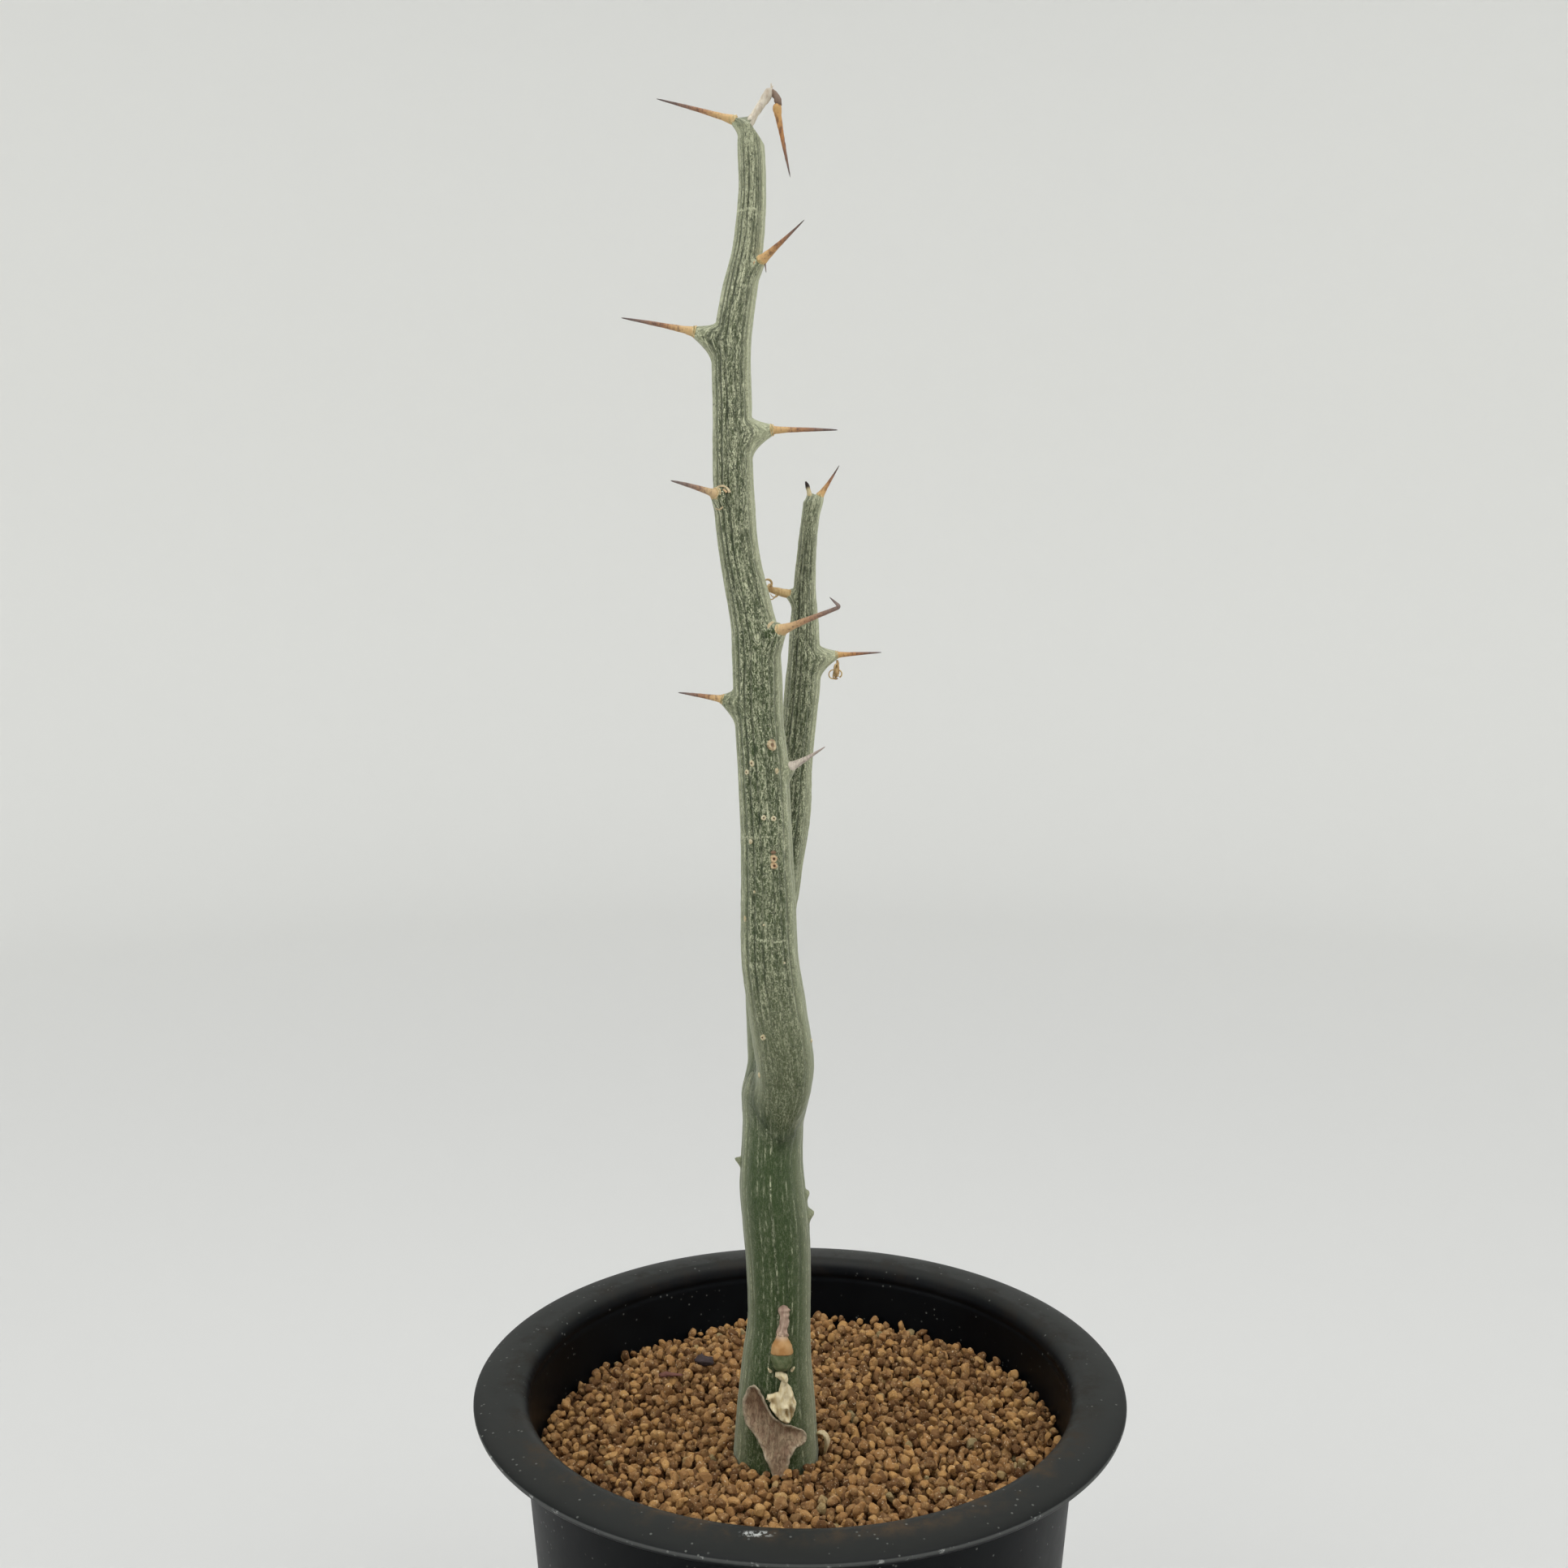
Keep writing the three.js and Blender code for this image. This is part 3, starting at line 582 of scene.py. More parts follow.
def skin_finish(name, stem):
    """Living bark: green skin with dark grooves, pale bloom, a wormy crust and pale dashes, with painted sheen
    on the stems' sides, painted light on their plus X side and painted shade on the trunk's front and in the
    crease where the stems join.
    """
    paint = Paint(name)
    around = paint.attribute("around", vector=True)
    tone = paint.attribute("tone")
    line = paint.attribute("groove")
    fleck = paint.attribute("dash")
    rugged = paint.attribute("rugged")
    broad = paint.noise(paint.stretch(around, (0.35, 0.35, 0.12)), 1.0, 3)
    patch = paint.noise(paint.stretch(around, (1, 1, 0.35)), 0.9, 3)
    # Green tone, darkened by painted shade on the trunk's front and in the joints' crease, and lightened by
    # painted sheen on the shoots' sides.
    mixed = paint.step(tone + (broad - 0.5) * 0.6 + (patch - 0.5) * 0.45, 0.05, 0.95)
    colour = paint.mix(mixed, tuple(stem.deep_colour), tuple(stem.plain_colour))
    # Waxy bloom, and painted sheen that pales the stems' sides, in the bloom colour.
    colour = paint.mix(paint.attribute("bloom") * (0.7 + patch * 0.5), colour, tuple(stem.bloom_and_sheen_colour))
    curl = paint.noise(paint.stretch(around, (1, 1, 0.3)), 2.5, 2, 0.5, 0.5)
    worm = paint.step(abs(curl - 0.5), 0.08, 0.035)
    bead = paint.step(paint.noise(around, 3.6, 2, 0.6), 0.44, 0.54)
    cover = paint.step(paint.noise(paint.stretch(around, (1, 1, 0.35)), 0.7, 2), 0.3, 0.62)
    grit = paint.step(paint.noise(around, 5.5, 2, 0.6), 0.58, 0.66)
    scurf = (worm * (0.25 + bead * 0.75) * (0.5 + cover * 0.5)).biggest(grit * 0.7 * (0.4 + cover * 0.6))
    scurf = scurf * rugged
    colour = paint.mix(scurf * (1 - line * 0.9), colour, tuple(stem.crust_and_light_colour))
    gap = paint.step(paint.noise(paint.stretch(around, (1, 1, 0.25)), 2.1, 2), 0.36, 0.5)
    # Grooves, and painted shade in the crease where the stems join, in the groove colour.
    colour = paint.mix(line * (0.55 + gap * 0.45), colour, tuple(stem.groove_and_shade_colour))
    speck = paint.step(paint.noise(paint.stretch(around, (1, 1, 0.5)), 3.8, 3, 0.6), 0.43, 0.53)
    colour = paint.mix(fleck * (0.06 + speck * 0.86), colour, tuple(stem.crust_and_light_colour))
    pit = paint.step(paint.noise(paint.stretch(around, (1, 1, 0.6)), 3.1, 2, 0.6), 0.44, 0.35)
    colour = paint.mix(pit * (0.25 + rugged * 0.55), colour, tuple(stem.groove_and_shade_colour))
    # Painted light: each stem's plus X side is painted paler in the crust colour, as if sunlit.
    right = paint.step(paint.part(around, 0), 2.0, 4.2)
    colour = paint.mix(right * rugged * 0.32, colour, tuple(stem.crust_and_light_colour))
    height = scurf * 0.8 + fleck * 0.35 - line * 0.9 - pit * 0.5
    rough_skin = 0.48 + scurf * 0.3 + (patch - 0.5) * 0.2
    return paint.finish(
        colour, rough_skin, height, 0.00012, 0.6,
        Sheen_Weight=0.42, Sheen_Roughness=0.4, Sheen_Tint=linear(220, 225, 210), Specular_IOR_Level=0.3,
    )


def thorn_finish(colours):
    """A dry thorn: tan at its base, brown in the middle, grey towards its tip, with dark streaks."""
    paint = Paint("thorn_skin")
    along = paint.attribute("along")
    warm = paint.attribute("warm")
    around = paint.attribute("around", vector=True)
    streak = paint.noise(paint.stretch(around, (1, 1, 0.3)), 2.4, 3, 0.6)
    mottle = paint.noise(around, 3.2, 3, 0.6)
    shift = along + (streak - 0.5) * 0.4 + (mottle - 0.5) * 0.25
    base, middle, tip = (tuple(v) for v in (colours.thorn_base, colours.thorn_middle, colours.thorn_tip))
    cool = paint.stops(shift, [(0, base), (0.2, base), (0.42, middle), (0.75, tip), (1, linear(92, 84, 82))])
    hot = paint.stops(shift, [(0, linear(206, 162, 100)), (0.38, linear(178, 124, 74)),
                              (0.62, linear(142, 100, 76)), (0.85, linear(116, 96, 88)),
                              (1, linear(74, 66, 66))])
    colour = paint.mix(warm, cool, hot)
    dark = paint.step(streak, 0.53, 0.64) * paint.step(along, 0.04, 0.25)
    colour = paint.mix(dark * 0.6, colour, linear(90, 64, 56))
    fleck = paint.step(mottle, 0.6, 0.68) * paint.step(along, 0.02, 0.12)
    colour = paint.mix(fleck * 0.55, colour, linear(78, 54, 46))
    ring = paint.step(along, 0.08, 0.03) * paint.step(mottle, 0.4, 0.55)
    colour = paint.mix(ring * 0.6, colour, linear(224, 206, 160))
    colour = paint.mix(paint.step(shift, 0.08, -0.04) * 0.7, colour, linear(146, 136, 88))
    weathered = paint.step(streak + along * 0.3, 0.45, 0.75)
    bleach = paint.mix(weathered, linear(206, 196, 182), linear(164, 150, 142))
    colour = paint.mix(paint.attribute("bleached"), colour, bleach)
    gloss = 0.55 + (mottle - 0.5) * 0.3
    return paint.finish(colour, gloss, mottle + streak, 0.00006, 0.5, Specular_IOR_Level=0.3)


def dry_finish(name, pale, middle, dark, seam=0.5, scale=700):
    """Papery dried tissue: pale skin with brown seams and specks."""
    paint = Paint(name)
    around = paint.attribute("around", vector=True)
    veins = paint.noise(paint.stretch(around, (1.6, 1.6, 0.4)), 1.4, 4, 0.6)
    blotch = paint.noise(paint.place(), scale, 3, 0.55)
    colour = paint.mix(paint.step(veins, 0.35, 0.7), pale, middle)
    colour = paint.mix(paint.step(blotch, seam, seam + 0.2) * 0.8, colour, dark)
    colour = paint.mix(paint.attribute("shade"), colour, dark)
    return paint.finish(colour, 0.8, veins + blotch * 0.6, 0.00012, 0.7, Specular_IOR_Level=0.2)


def plastic_finish(pot):
    """Black moulded plastic with a soft gloss, dust, scuffs and fine specks, a paler rim that is dust and
    painted top light, and a painted highlight line round the rim's edge.
    """
    paint = Paint("black_plastic")
    place = paint.place()
    x, y, z = (paint.part(place, axis) for axis in range(3))
    top = pot_high.z
    cloud = paint.noise(place, 45, 4, 0.6)
    mottle = paint.noise(place, 420, 3, 0.6)
    # The rim is paler grey: dust on it, and painted light on its upward face.
    rim = paint.step(z, top - 0.0042, top - 0.0015) * paint.step(z, top - 0.0016, top - 0.0002)
    colour = paint.mix(rim, tuple(pot.body_colour), tuple(pot.rim_colour))
    colour = paint.mix((cloud - 0.35).biggest(0.0) * 0.25, colour, linear(48, 54, 56))
    dust = paint.step(paint.noise(place, 160, 5, 0.7), 0.42, 0.72)
    radius = paint.length(paint.stretch(place, (1, 1, 0)))
    front = paint.step(y, -0.012, -0.045)
    inner = paint.step(radius, 0.0575, 0.053) * paint.step(z, top - 0.0035, top - 0.0015)
    colour = paint.mix(dust * inner * (0.04 + front * 0.26), colour, tuple(pot.dust_colour))
    speck = paint.step(paint.cells(place, 620), 0.16, 0.08) * paint.step(paint.noise(place, 130, 2), 0.42, 0.6)
    colour = paint.mix(speck * 0.35, colour, linear(150, 152, 146))
    # Scuffs along the rim's outer edge, over a faint painted highlight line all round it.
    edge = paint.step(radius, 0.05982, 0.06)
    scuff_and_edge_highlight = edge * (0.22 + paint.step(paint.noise(place, 500, 4, 0.7), 0.58, 0.66) * 0.75)
    mark_x, mark_y = -0.0072, -0.0536
    mark = paint.step(abs(x - mark_x), 0.003, 0.0012) * paint.step(abs(y - mark_y), 0.001, 0.0003)
    mark = mark * paint.step(paint.noise(place, 700, 5, 0.75), 0.49, 0.56) * paint.step(z, soil_high.z, top)
    colour = paint.mix((scuff_and_edge_highlight * 0.5).biggest(mark * 0.75), colour, linear(205, 208, 204))
    gloss = 0.4 + (cloud - 0.5) * 0.25 + dust * inner * 0.3 + mottle * 0.06
    return paint.finish(colour, gloss, mottle + speck, 0.00004, 0.35, Specular_IOR_Level=0.085)


def grain_finish(soil):
    """Fired-clay grains: tan to brown from grain to grain, with pale worn faces and a gritty skin."""
    paint = Paint("clay_grains")
    tint = paint.attribute("tint")
    place = paint.place()
    grit = paint.noise(place, 1500, 4, 0.65)
    patch = paint.noise(place, 520, 3, 0.6)
    base = paint.stops(tint, [(0, soil.dark_colour), (0.35, soil.clay_colour), (0.7, soil.light_colour),
                              (0.97, linear(184, 142, 88)), (1, linear(142, 128, 92))])
    colour = paint.mix(paint.step(patch, 0.48, 0.66) * 0.45, base, linear(186, 150, 102))
    colour = paint.mix(paint.step(grit, 0.6, 0.72) * 0.45, colour, linear(210, 180, 138))
    spark = paint.step(paint.noise(place, 2600, 2), 0.66, 0.7)
    colour = paint.mix(spark * 0.7, colour, linear(234, 214, 180))
    colour = paint.mix(paint.step(grit, 0.42, 0.3) * 0.6, colour, soil.dark_colour)
    return paint.finish(colour, 0.9, grit + patch * 0.6, 0.00022, 0.8, Specular_IOR_Level=0.2)


def bed_finish():
    """The dark brown bed under the grains."""
    paint = Paint("clay_bed")
    grit = paint.noise(paint.place(), 900, 4, 0.65)
    colour = paint.mix(grit, linear(46, 30, 18), linear(98, 66, 40))
    return paint.finish(colour, 0.95, grit, 0.0004, 0.8, Specular_IOR_Level=0.1)


def chip_finish():
    """Dark weathered bark."""
    paint = Paint("bark")
    grain = paint.noise(paint.stretch(paint.place(), (600, 1400, 1400)), 1.0, 4, 0.6)
    colour = paint.mix(grain, linear(28, 26, 32), linear(82, 68, 66))
    colour = paint.mix(paint.attribute("warm"), colour, linear(120, 78, 66))
    return paint.finish(colour, 0.8, grain, 0.0003, 0.8, Specular_IOR_Level=0.3)


def husk_finish(scales):
    """A papery husk: brown-grey and veined, darker above, with pale frayed edges."""
    paint = Paint("husk")
    around = paint.attribute("around", vector=True)
    rimmed = paint.attribute("edge")
    shade = paint.attribute("shade")
    veins = paint.noise(paint.stretch(around, (1.1, 1, 0.5)), 0.9, 4, 0.55, 0.4)
    fibre = paint.noise(paint.stretch(around, (4, 1, 0.5)), 1.3, 3, 0.6)
    colour = paint.mix(paint.step(veins, 0.35, 0.65), tuple(scales.husk_colour), linear(182, 160, 132))
    colour = paint.mix(paint.step(fibre, 0.5, 0.75) * 0.3, colour, linear(196, 176, 146))
    top = paint.mix(paint.step(veins, 0.35, 0.65), linear(108, 80, 60), linear(148, 120, 94))
    colour = paint.mix(shade, colour, top)
    crack = paint.step(abs(paint.noise(paint.stretch(around, (1.5, 1, 0.45)), 0.9, 4, 0.7) - 0.5), 0.03, 0.006)
    colour = paint.mix(crack * 0.22, colour, linear(98, 70, 52))
    colour = paint.mix(rimmed * 0.8, colour, linear(206, 192, 166))
    return paint.finish(colour, 0.85, veins * 1.5 + fibre - crack, 0.00025, 0.8, Specular_IOR_Level=0.15)


def flake_finish(scales):
    """A cream flake: pale ridges with ochre in the folds."""
    paint = Paint("pale_scale")
    around = paint.attribute("around", vector=True)
    fold = paint.attribute("fold")
    grain = paint.noise(paint.stretch(around, (1.8, 1.8, 0.8)), 1.3, 4, 0.6)
    colour = paint.mix(paint.step(grain, 0.42, 0.7), tuple(scales.flake_colour), linear(206, 186, 138))
    colour = paint.mix(fold * 0.8, colour, linear(158, 128, 78))
    return paint.finish(colour, 0.75, grain, 0.0002, 0.7, Specular_IOR_Level=0.3)


def bud_finish():
    """The bud: green below, tan-orange shoulders above a sharp uneven line."""
    paint = Paint("bud_skin")
    along = paint.attribute("along")
    grain = paint.noise(paint.place(), 1300, 4, 0.6)
    coarse = paint.noise(paint.place(), 420, 3, 0.5)
    green = paint.mix(paint.step(grain, 0.35, 0.7), linear(84, 96, 62), linear(118, 124, 90))
    tan = paint.mix(paint.step(coarse, 0.35, 0.65), linear(164, 118, 66), linear(186, 146, 96))
    level = along + (coarse - 0.5) * 0.09
    colour = paint.mix(paint.step(level, 0.475, 0.49), green, tan)
    rim = paint.step(abs(level - 0.478), 0.02, 0.004)
    colour = paint.mix(rim * 0.75, colour, linear(84, 58, 34))
    top = paint.step(along, 0.8, 0.97)
    colour = paint.mix(top * 0.8, colour, linear(196, 172, 150))
    return paint.finish(colour, 0.6, grain + coarse, 0.00012, 0.6, Specular_IOR_Level=0.35)


# ---- settings ----

def colour_setting(name, description, value):
    return FloatVectorProperty(name=name, description=description, default=linear(*value),
                               subtype="COLOR", min=0, max=1)


def length_setting(name, description, value):
    return FloatProperty(name=name, description=description, default=value, subtype="DISTANCE",
                         unit="LENGTH", min=0)


def power_setting(name, description, value):
    return FloatProperty(name=name, description=description, default=value, unit="POWER", min=0)


class PotSettings(bpy.types.PropertyGroup):
    """The pot's sizes and colours."""

    rim_radius: length_setting("Rim radius", "Outside of the rim", pot_high.x)
    height: length_setting("Height", "Foot to the crest of the rim", pot_high.z)
    mouth_radius: length_setting("Mouth radius", "Inside of the wall under the rim", 0.05)
    foot_radius: length_setting("Foot radius", "Outside of the wall at the foot", 0.043)
    wall: length_setting("Wall", "Thickness of the wall", 0.0015)
    sides: IntProperty(name="Sides", description="Flat sides round the pot", default=224, min=24)
    body_colour: colour_setting("Body colour", "Plastic of the wall", (7, 9, 12))
    # The rim colour holds dust and painted light on the rim's upward face.
    rim_colour: colour_setting("Rim colour", "Plastic of the rim", (41, 42, 40))
    dust_colour: colour_setting("Dust colour", "Clay dust on the rim", (122, 96, 66))


class SoilSettings(bpy.types.PropertyGroup):
    """The clay grains' sizes and colours."""

    grain: length_setting("Grain", "Mean width of a grain", 0.00235)
    spacing: length_setting("Spacing", "Least distance between grains in a layer", 0.0017)
    seed: IntProperty(name="Seed", description="Which scatter of grains", default=7)
    dark_colour: colour_setting("Dark clay", "The darkest grains", (98, 68, 41))
    clay_colour: colour_setting("Clay", "Most grains", (128, 94, 59))
    light_colour: colour_setting("Light clay", "The palest grains", (162, 121, 75))


class StemSettings(bpy.types.PropertyGroup):
    """The skin of the trunk and the shoots."""

    ring_gap: length_setting("Ring gap", "Distance between the rings of a stem's mesh", 0.00029)
    groove_depth: length_setting("Groove depth", "Depth of the grooves between the ribs", 0.00022)
    ribs: IntProperty(name="Ribs", description="Ribs round a shoot", default=18, min=0)
    deep_colour: colour_setting("Deep green", "The skin where it is darkest", (50, 68, 31))
    plain_colour: colour_setting("Plain green", "The skin where it is palest", (58, 67, 36))
    # Also the colour of the painted sheen on the stems' sides.
    bloom_and_sheen_colour: colour_setting("Bloom", "Waxy grey-green skin", (168, 172, 140))
    # Also the colour of the painted light on the stems' plus X side.
    crust_and_light_colour: colour_setting("Crust", "Wormy pale crust and dashes", (216, 218, 184))
    # Also the colour of the painted shade in the crease where the stems join.
    groove_and_shade_colour: colour_setting("Groove", "Grooves between the ribs", (28, 38, 20))


class ThornSettings(bpy.types.PropertyGroup):
    """The thorns' colours."""

    thorn_base: colour_setting("Base", "A thorn at its base", (212, 182, 134))
    thorn_middle: colour_setting("Middle", "A thorn half way along", (160, 122, 94))
    thorn_tip: colour_setting("Tip", "A thorn near its point", (124, 108, 102))


class ScaleSettings(bpy.types.PropertyGroup):
    """The papery scales at the trunk's foot."""

    thickness: length_setting("Thickness", "Thickness of a scale", 0.00028)
    curl: length_setting("Curl", "How far a scale's edge lifts", 0.0007)
    husk_colour: colour_setting("Husk", "The brown husk", (150, 124, 102))
    flake_colour: colour_setting("Flake", "The cream flake", (226, 212, 176))


class StageSettings(bpy.types.PropertyGroup):
    """The floor, the lights and the view."""

    floor_colour: colour_setting("Floor", "Floor near the pot", (215, 215, 213))
    wall_colour: colour_setting("Wall", "Backdrop above the floor", (237, 237, 234))
    key_power: power_setting("Top light", "Power of the light overhead", 13.0)
    side_power: power_setting("Side lights", "Power of each side light", 2.7)
    sky: FloatProperty(name="Sky", description="Light from all round", default=0.4)


# ---- making the pieces ----

def make_backdrop(stage):
    """A round pale floor that curves up into a wall."""
    floor, bend, wall = 1000.0, 500.0, 1700.0
    profile = [(0.001, 0), (200, 0), (500, 0), (floor, 0)]
    profile += [(floor + bend * math.sin(a), bend * (1 - math.cos(a)))
                for a in np.linspace(0.1, math.pi / 2, 14)]
    profile.append((floor + bend, wall))
    points, faces = spun(profile, 96)
    heap = Heap()
    heap.add(points[:-1], [face[::-1] for face in faces if len(points) - 1 not in face])
    paint = Paint("backdrop")
    far = paint.step(paint.length(paint.place()), 0.35, 1.5)
    colour = paint.mix(far, tuple(stage.floor_colour), tuple(stage.wall_colour))
    backdrop = heap.make("backdrop", paint.finish(colour, 0.9, Specular_IOR_Level=0.1), origin=np.zeros(3))


def add_light(name, place, target, size, power):
    """A soft square light that looks at a point."""
    data = bpy.data.lights.new(name, "AREA")
    data.size, data.energy = size, power
    lamp = bpy.data.objects.new(name, data)
    lamp.location = place
    lamp.rotation_euler = (Vector(target) - Vector(place)).to_track_quat("-Z", "Y").to_euler()
    bpy.context.scene.collection.objects.link(lamp)


def pot_profile(pot):
    """The pot's outline from the middle of its foot, up the outside, over the rim and down the inside."""
    top = pot.height / MM
    mouth, edge, foot, wall = (v / MM for v in (pot.mouth_radius, pot.rim_radius, pot.foot_radius, pot.wall))
    crest, lip_edge, drop = mouth + 3, edge - 2.9, 2.9
    lip = top - drop
    ring, floor = 4, 5.8

    def inside(height):
        return foot - wall + (mouth - foot + wall) * height / lip

    outline = [(0.01, ring), (12, ring), (30, ring), (foot - 3.2, ring), (foot - 3, ring - 0.3),
               (foot - 3, 0.4), (foot - 2.7, 0), (foot - 0.5, 0), (foot - 0.1, 0.25)]
    outline += [(inside(h) + wall, h) for h in np.linspace(0.8, lip - 0.6, 34)]
    outline += [(inside(lip) + wall + 0.15, lip), (inside(lip) + wall + 0.5, lip + drop * 0.18),
                (lip_edge - 1.2, lip + drop * 0.17), (lip_edge - 0.6, lip + drop * 0.1),
                (lip_edge - 0.3, lip + 0.05), (lip_edge, lip - 0.02), (lip_edge + 0.25, lip + 0.03)]
    edge_height = lip + drop * 0.58
    roll = lip_edge + 0.25
    outline += [(roll + (edge - roll) * math.sin(a), edge_height - (edge_height - lip) * math.cos(a))
                for a in np.linspace(0.25, 1.45, 6)]
    outline += [(crest + (edge - crest) * math.cos(a), edge_height + (top - edge_height) * math.sin(a))
                for a in np.linspace(0, math.pi / 2, 18)]
    outline += [(crest - 3 * math.sin(a), lip + drop * math.cos(a)) for a in np.linspace(0.1, math.pi / 2, 12)]
    outline += [(inside(lip) + 0.12, lip - 0.3), (inside(lip - 0.8) + 0.12, lip - 0.8),
                (inside(lip - 1.1), lip - 1.1)]
    outline += [(inside(h), h) for h in np.linspace(lip - 1.6, floor + 2.2, 30)]
    outline += [(inside(floor) - 2 + 2.2 * math.sin(a), floor + 2 * (1 - math.cos(a)))
                for a in (1.2, 0.8, 0.4)]
    outline += [(inside(floor) - 2, floor), (30, floor), (12, floor), (0.01, floor)]
    return outline


def make_pot(pot):
    """The turned pot with its drain slots cut."""
    heap = Heap()
    heap.add(*spun(pot_profile(pot), pot.sides))
    body = heap.make("pot_body", plastic_finish(pot), origin=np.zeros(3))
    cutter_mesh = bmesh.new()
    slots, slot_size, slot_place = 8, (0.014, 0.0032, 0.0072), (0.024, 0, 0.005)
    for k in range(slots):
        corners = bmesh.ops.create_cube(cutter_mesh, size=1)["verts"]
        bmesh.ops.scale(cutter_mesh, verts=corners, vec=slot_size)
        bmesh.ops.translate(cutter_mesh, verts=corners, vec=slot_place)
        turn = Matrix.Rotation(TAU * k / slots, 3, "Z")
        bmesh.ops.rotate(cutter_mesh, verts=corners, matrix=turn, cent=(0, 0, 0))
    mesh = bpy.data.meshes.new("slot_cutter")
    cutter_mesh.to_mesh(mesh)
    cutter_mesh.free()
    cutter = bpy.data.objects.new("slot_cutter", mesh)
    bpy.context.scene.collection.objects.link(cutter)
    cut = body.modifiers.new("slots", "BOOLEAN")
    cut.object, cut.operation, cut.solver = cutter, "DIFFERENCE", "EXACT"
    settle(body)
    bpy.data.objects.remove(cutter)
    finish_piece(body, "black_plastic", "pot")


def settle(thing):
    """Turns an object's modifiers into its mesh."""
    bpy.context.view_layer.update()
    graph = bpy.context.evaluated_depsgraph_get()
    made = bpy.data.meshes.new_from_object(thing.evaluated_get(graph), depsgraph=graph)
    old = thing.data
    made.name = old.name
    thing.modifiers.clear()
    thing.data = made


def grain_shape(name, seed, points=10):
    """One lumpy grain of clay, a unit across, with a few dozen faces."""
    chance = np.random.default_rng(seed)
    k = np.arange(points) + 0.5
    lift = 1 - 2 * k / points
    turn = k * math.pi * (1 + math.sqrt(5))
    level = np.sqrt(1 - lift**2)
    ball = np.stack([level * np.cos(turn), level * np.sin(turn), lift], -1)
    ball += chance.uniform(-0.28, 0.28, ball.shape)
    ball /= np.linalg.norm(ball, axis=1, keepdims=True)
    lumps = chance.uniform(0.42, 0.56, (points, 1))
    ball *= lumps * np.array([1, chance.uniform(0.85, 1), chance.uniform(0.78, 1)])
    shape = bmesh.new()
    for place in ball:
        shape.verts.new(place)
    bmesh.ops.convex_hull(shape, input=shape.verts)
    bmesh.ops.bevel(shape, geom=list(shape.edges), offset=0.065, segments=1, affect="EDGES")
    bmesh.ops.recalc_face_normals(shape, faces=shape.faces)
    mesh = bpy.data.meshes.new(name)
    shape.to_mesh(mesh)
    shape.free()
    mesh.shade_flat()
    return bpy.data.objects.new(name, mesh)


def scatter_tree(material):
    """Geometry nodes that lay grains over a surface."""
    tree = bpy.data.node_groups.new("grain_scatter", "GeometryNodeTree")
    face = tree.interface
    face.new_socket("Geometry", in_out="INPUT", socket_type="NodeSocketGeometry")
    for label, kind in (("Spacing", "Float"), ("Grain", "Float"), ("Unevenness", "Float"), ("Seed", "Int"),
                        ("Grains", "Collection")):
        face.new_socket(label, in_out="INPUT", socket_type="NodeSocket" + kind)
    face.new_socket("Geometry", in_out="OUTPUT", socket_type="NodeSocketGeometry")

    def node(kind, settings=None, inputs=None):
        made = tree.nodes.new(kind)
        for key, value in (settings or {}).items():
            setattr(made, key, value)
        for key, value in (inputs or {}).items():
            if isinstance(value, bpy.types.NodeSocket):
                tree.links.new(value, made.inputs[key])
            else:
                made.inputs[key].default_value = value
        return made

    given = node("NodeGroupInput").outputs
    spread = node("GeometryNodeDistributePointsOnFaces", {"distribute_method": "POISSON"},
                  {"Mesh": given["Geometry"], "Distance Min": given["Spacing"], "Density Max": 2.0e6,
                   "Seed": given["Seed"]})

    def random(kind, low, high, number):
        made = node("FunctionNodeRandomValue", {"data_type": kind})
        first = 0 if kind == "FLOAT_VECTOR" else 2
        made.inputs[first].default_value, made.inputs[first + 1].default_value = low, high
        added = node("ShaderNodeMath", {"operation": "ADD"}, {0: given["Seed"], 1: float(number)})
        tree.links.new(added.outputs[0], made.inputs["Seed"])
        return made.outputs[0 if kind == "FLOAT_VECTOR" else 1]

    lift = node("ShaderNodeVectorMath", {"operation": "SCALE"},
                {0: random("FLOAT_VECTOR", (-0.4, -0.4, -1), (0.4, 0.4, 1), 11), "Scale": given["Unevenness"]})
    moved = node("GeometryNodeSetPosition", None,
                 {"Geometry": spread.outputs["Points"], "Offset": lift.outputs[0]})
    shapes = node("GeometryNodeCollectionInfo", None,
                  {"Collection": given["Grains"], "Separate Children": True, "Reset Children": True})
    size = node("ShaderNodeVectorMath", {"operation": "SCALE"},
                {0: random("FLOAT_VECTOR", (0.8, 0.8, 0.7), (1.12, 1.12, 1.0), 12), "Scale": given["Grain"]})
    bigger = node("ShaderNodeMath", {"operation": "POWER"}, {0: random("FLOAT", 0.84, 1.16, 13), 1: 1.7})
    sized = node("ShaderNodeVectorMath", {"operation": "SCALE"},
                 {0: size.outputs[0], "Scale": bigger.outputs[0]})
    laid = node("GeometryNodeInstanceOnPoints", None,
                {"Points": moved.outputs[0], "Instance": shapes.outputs[0], "Pick Instance": True,
                 "Rotation": random("FLOAT_VECTOR", (0, 0, 0), (TAU, TAU, TAU), 14),
                 "Scale": sized.outputs[0]})
    tinted = node("GeometryNodeStoreNamedAttribute", {"domain": "INSTANCE", "data_type": "FLOAT"},
                  {"Geometry": laid.outputs[0], "Name": "tint", "Value": random("FLOAT", 0.0, 1.0, 15)})
    real = node("GeometryNodeRealizeInstances", None, {"Geometry": tinted.outputs[0]})
    painted = node("GeometryNodeSetMaterial", None, {"Geometry": real.outputs[0], "Material": material})
    node("NodeGroupOutput", None, {"Geometry": painted.outputs[0]})
    return tree


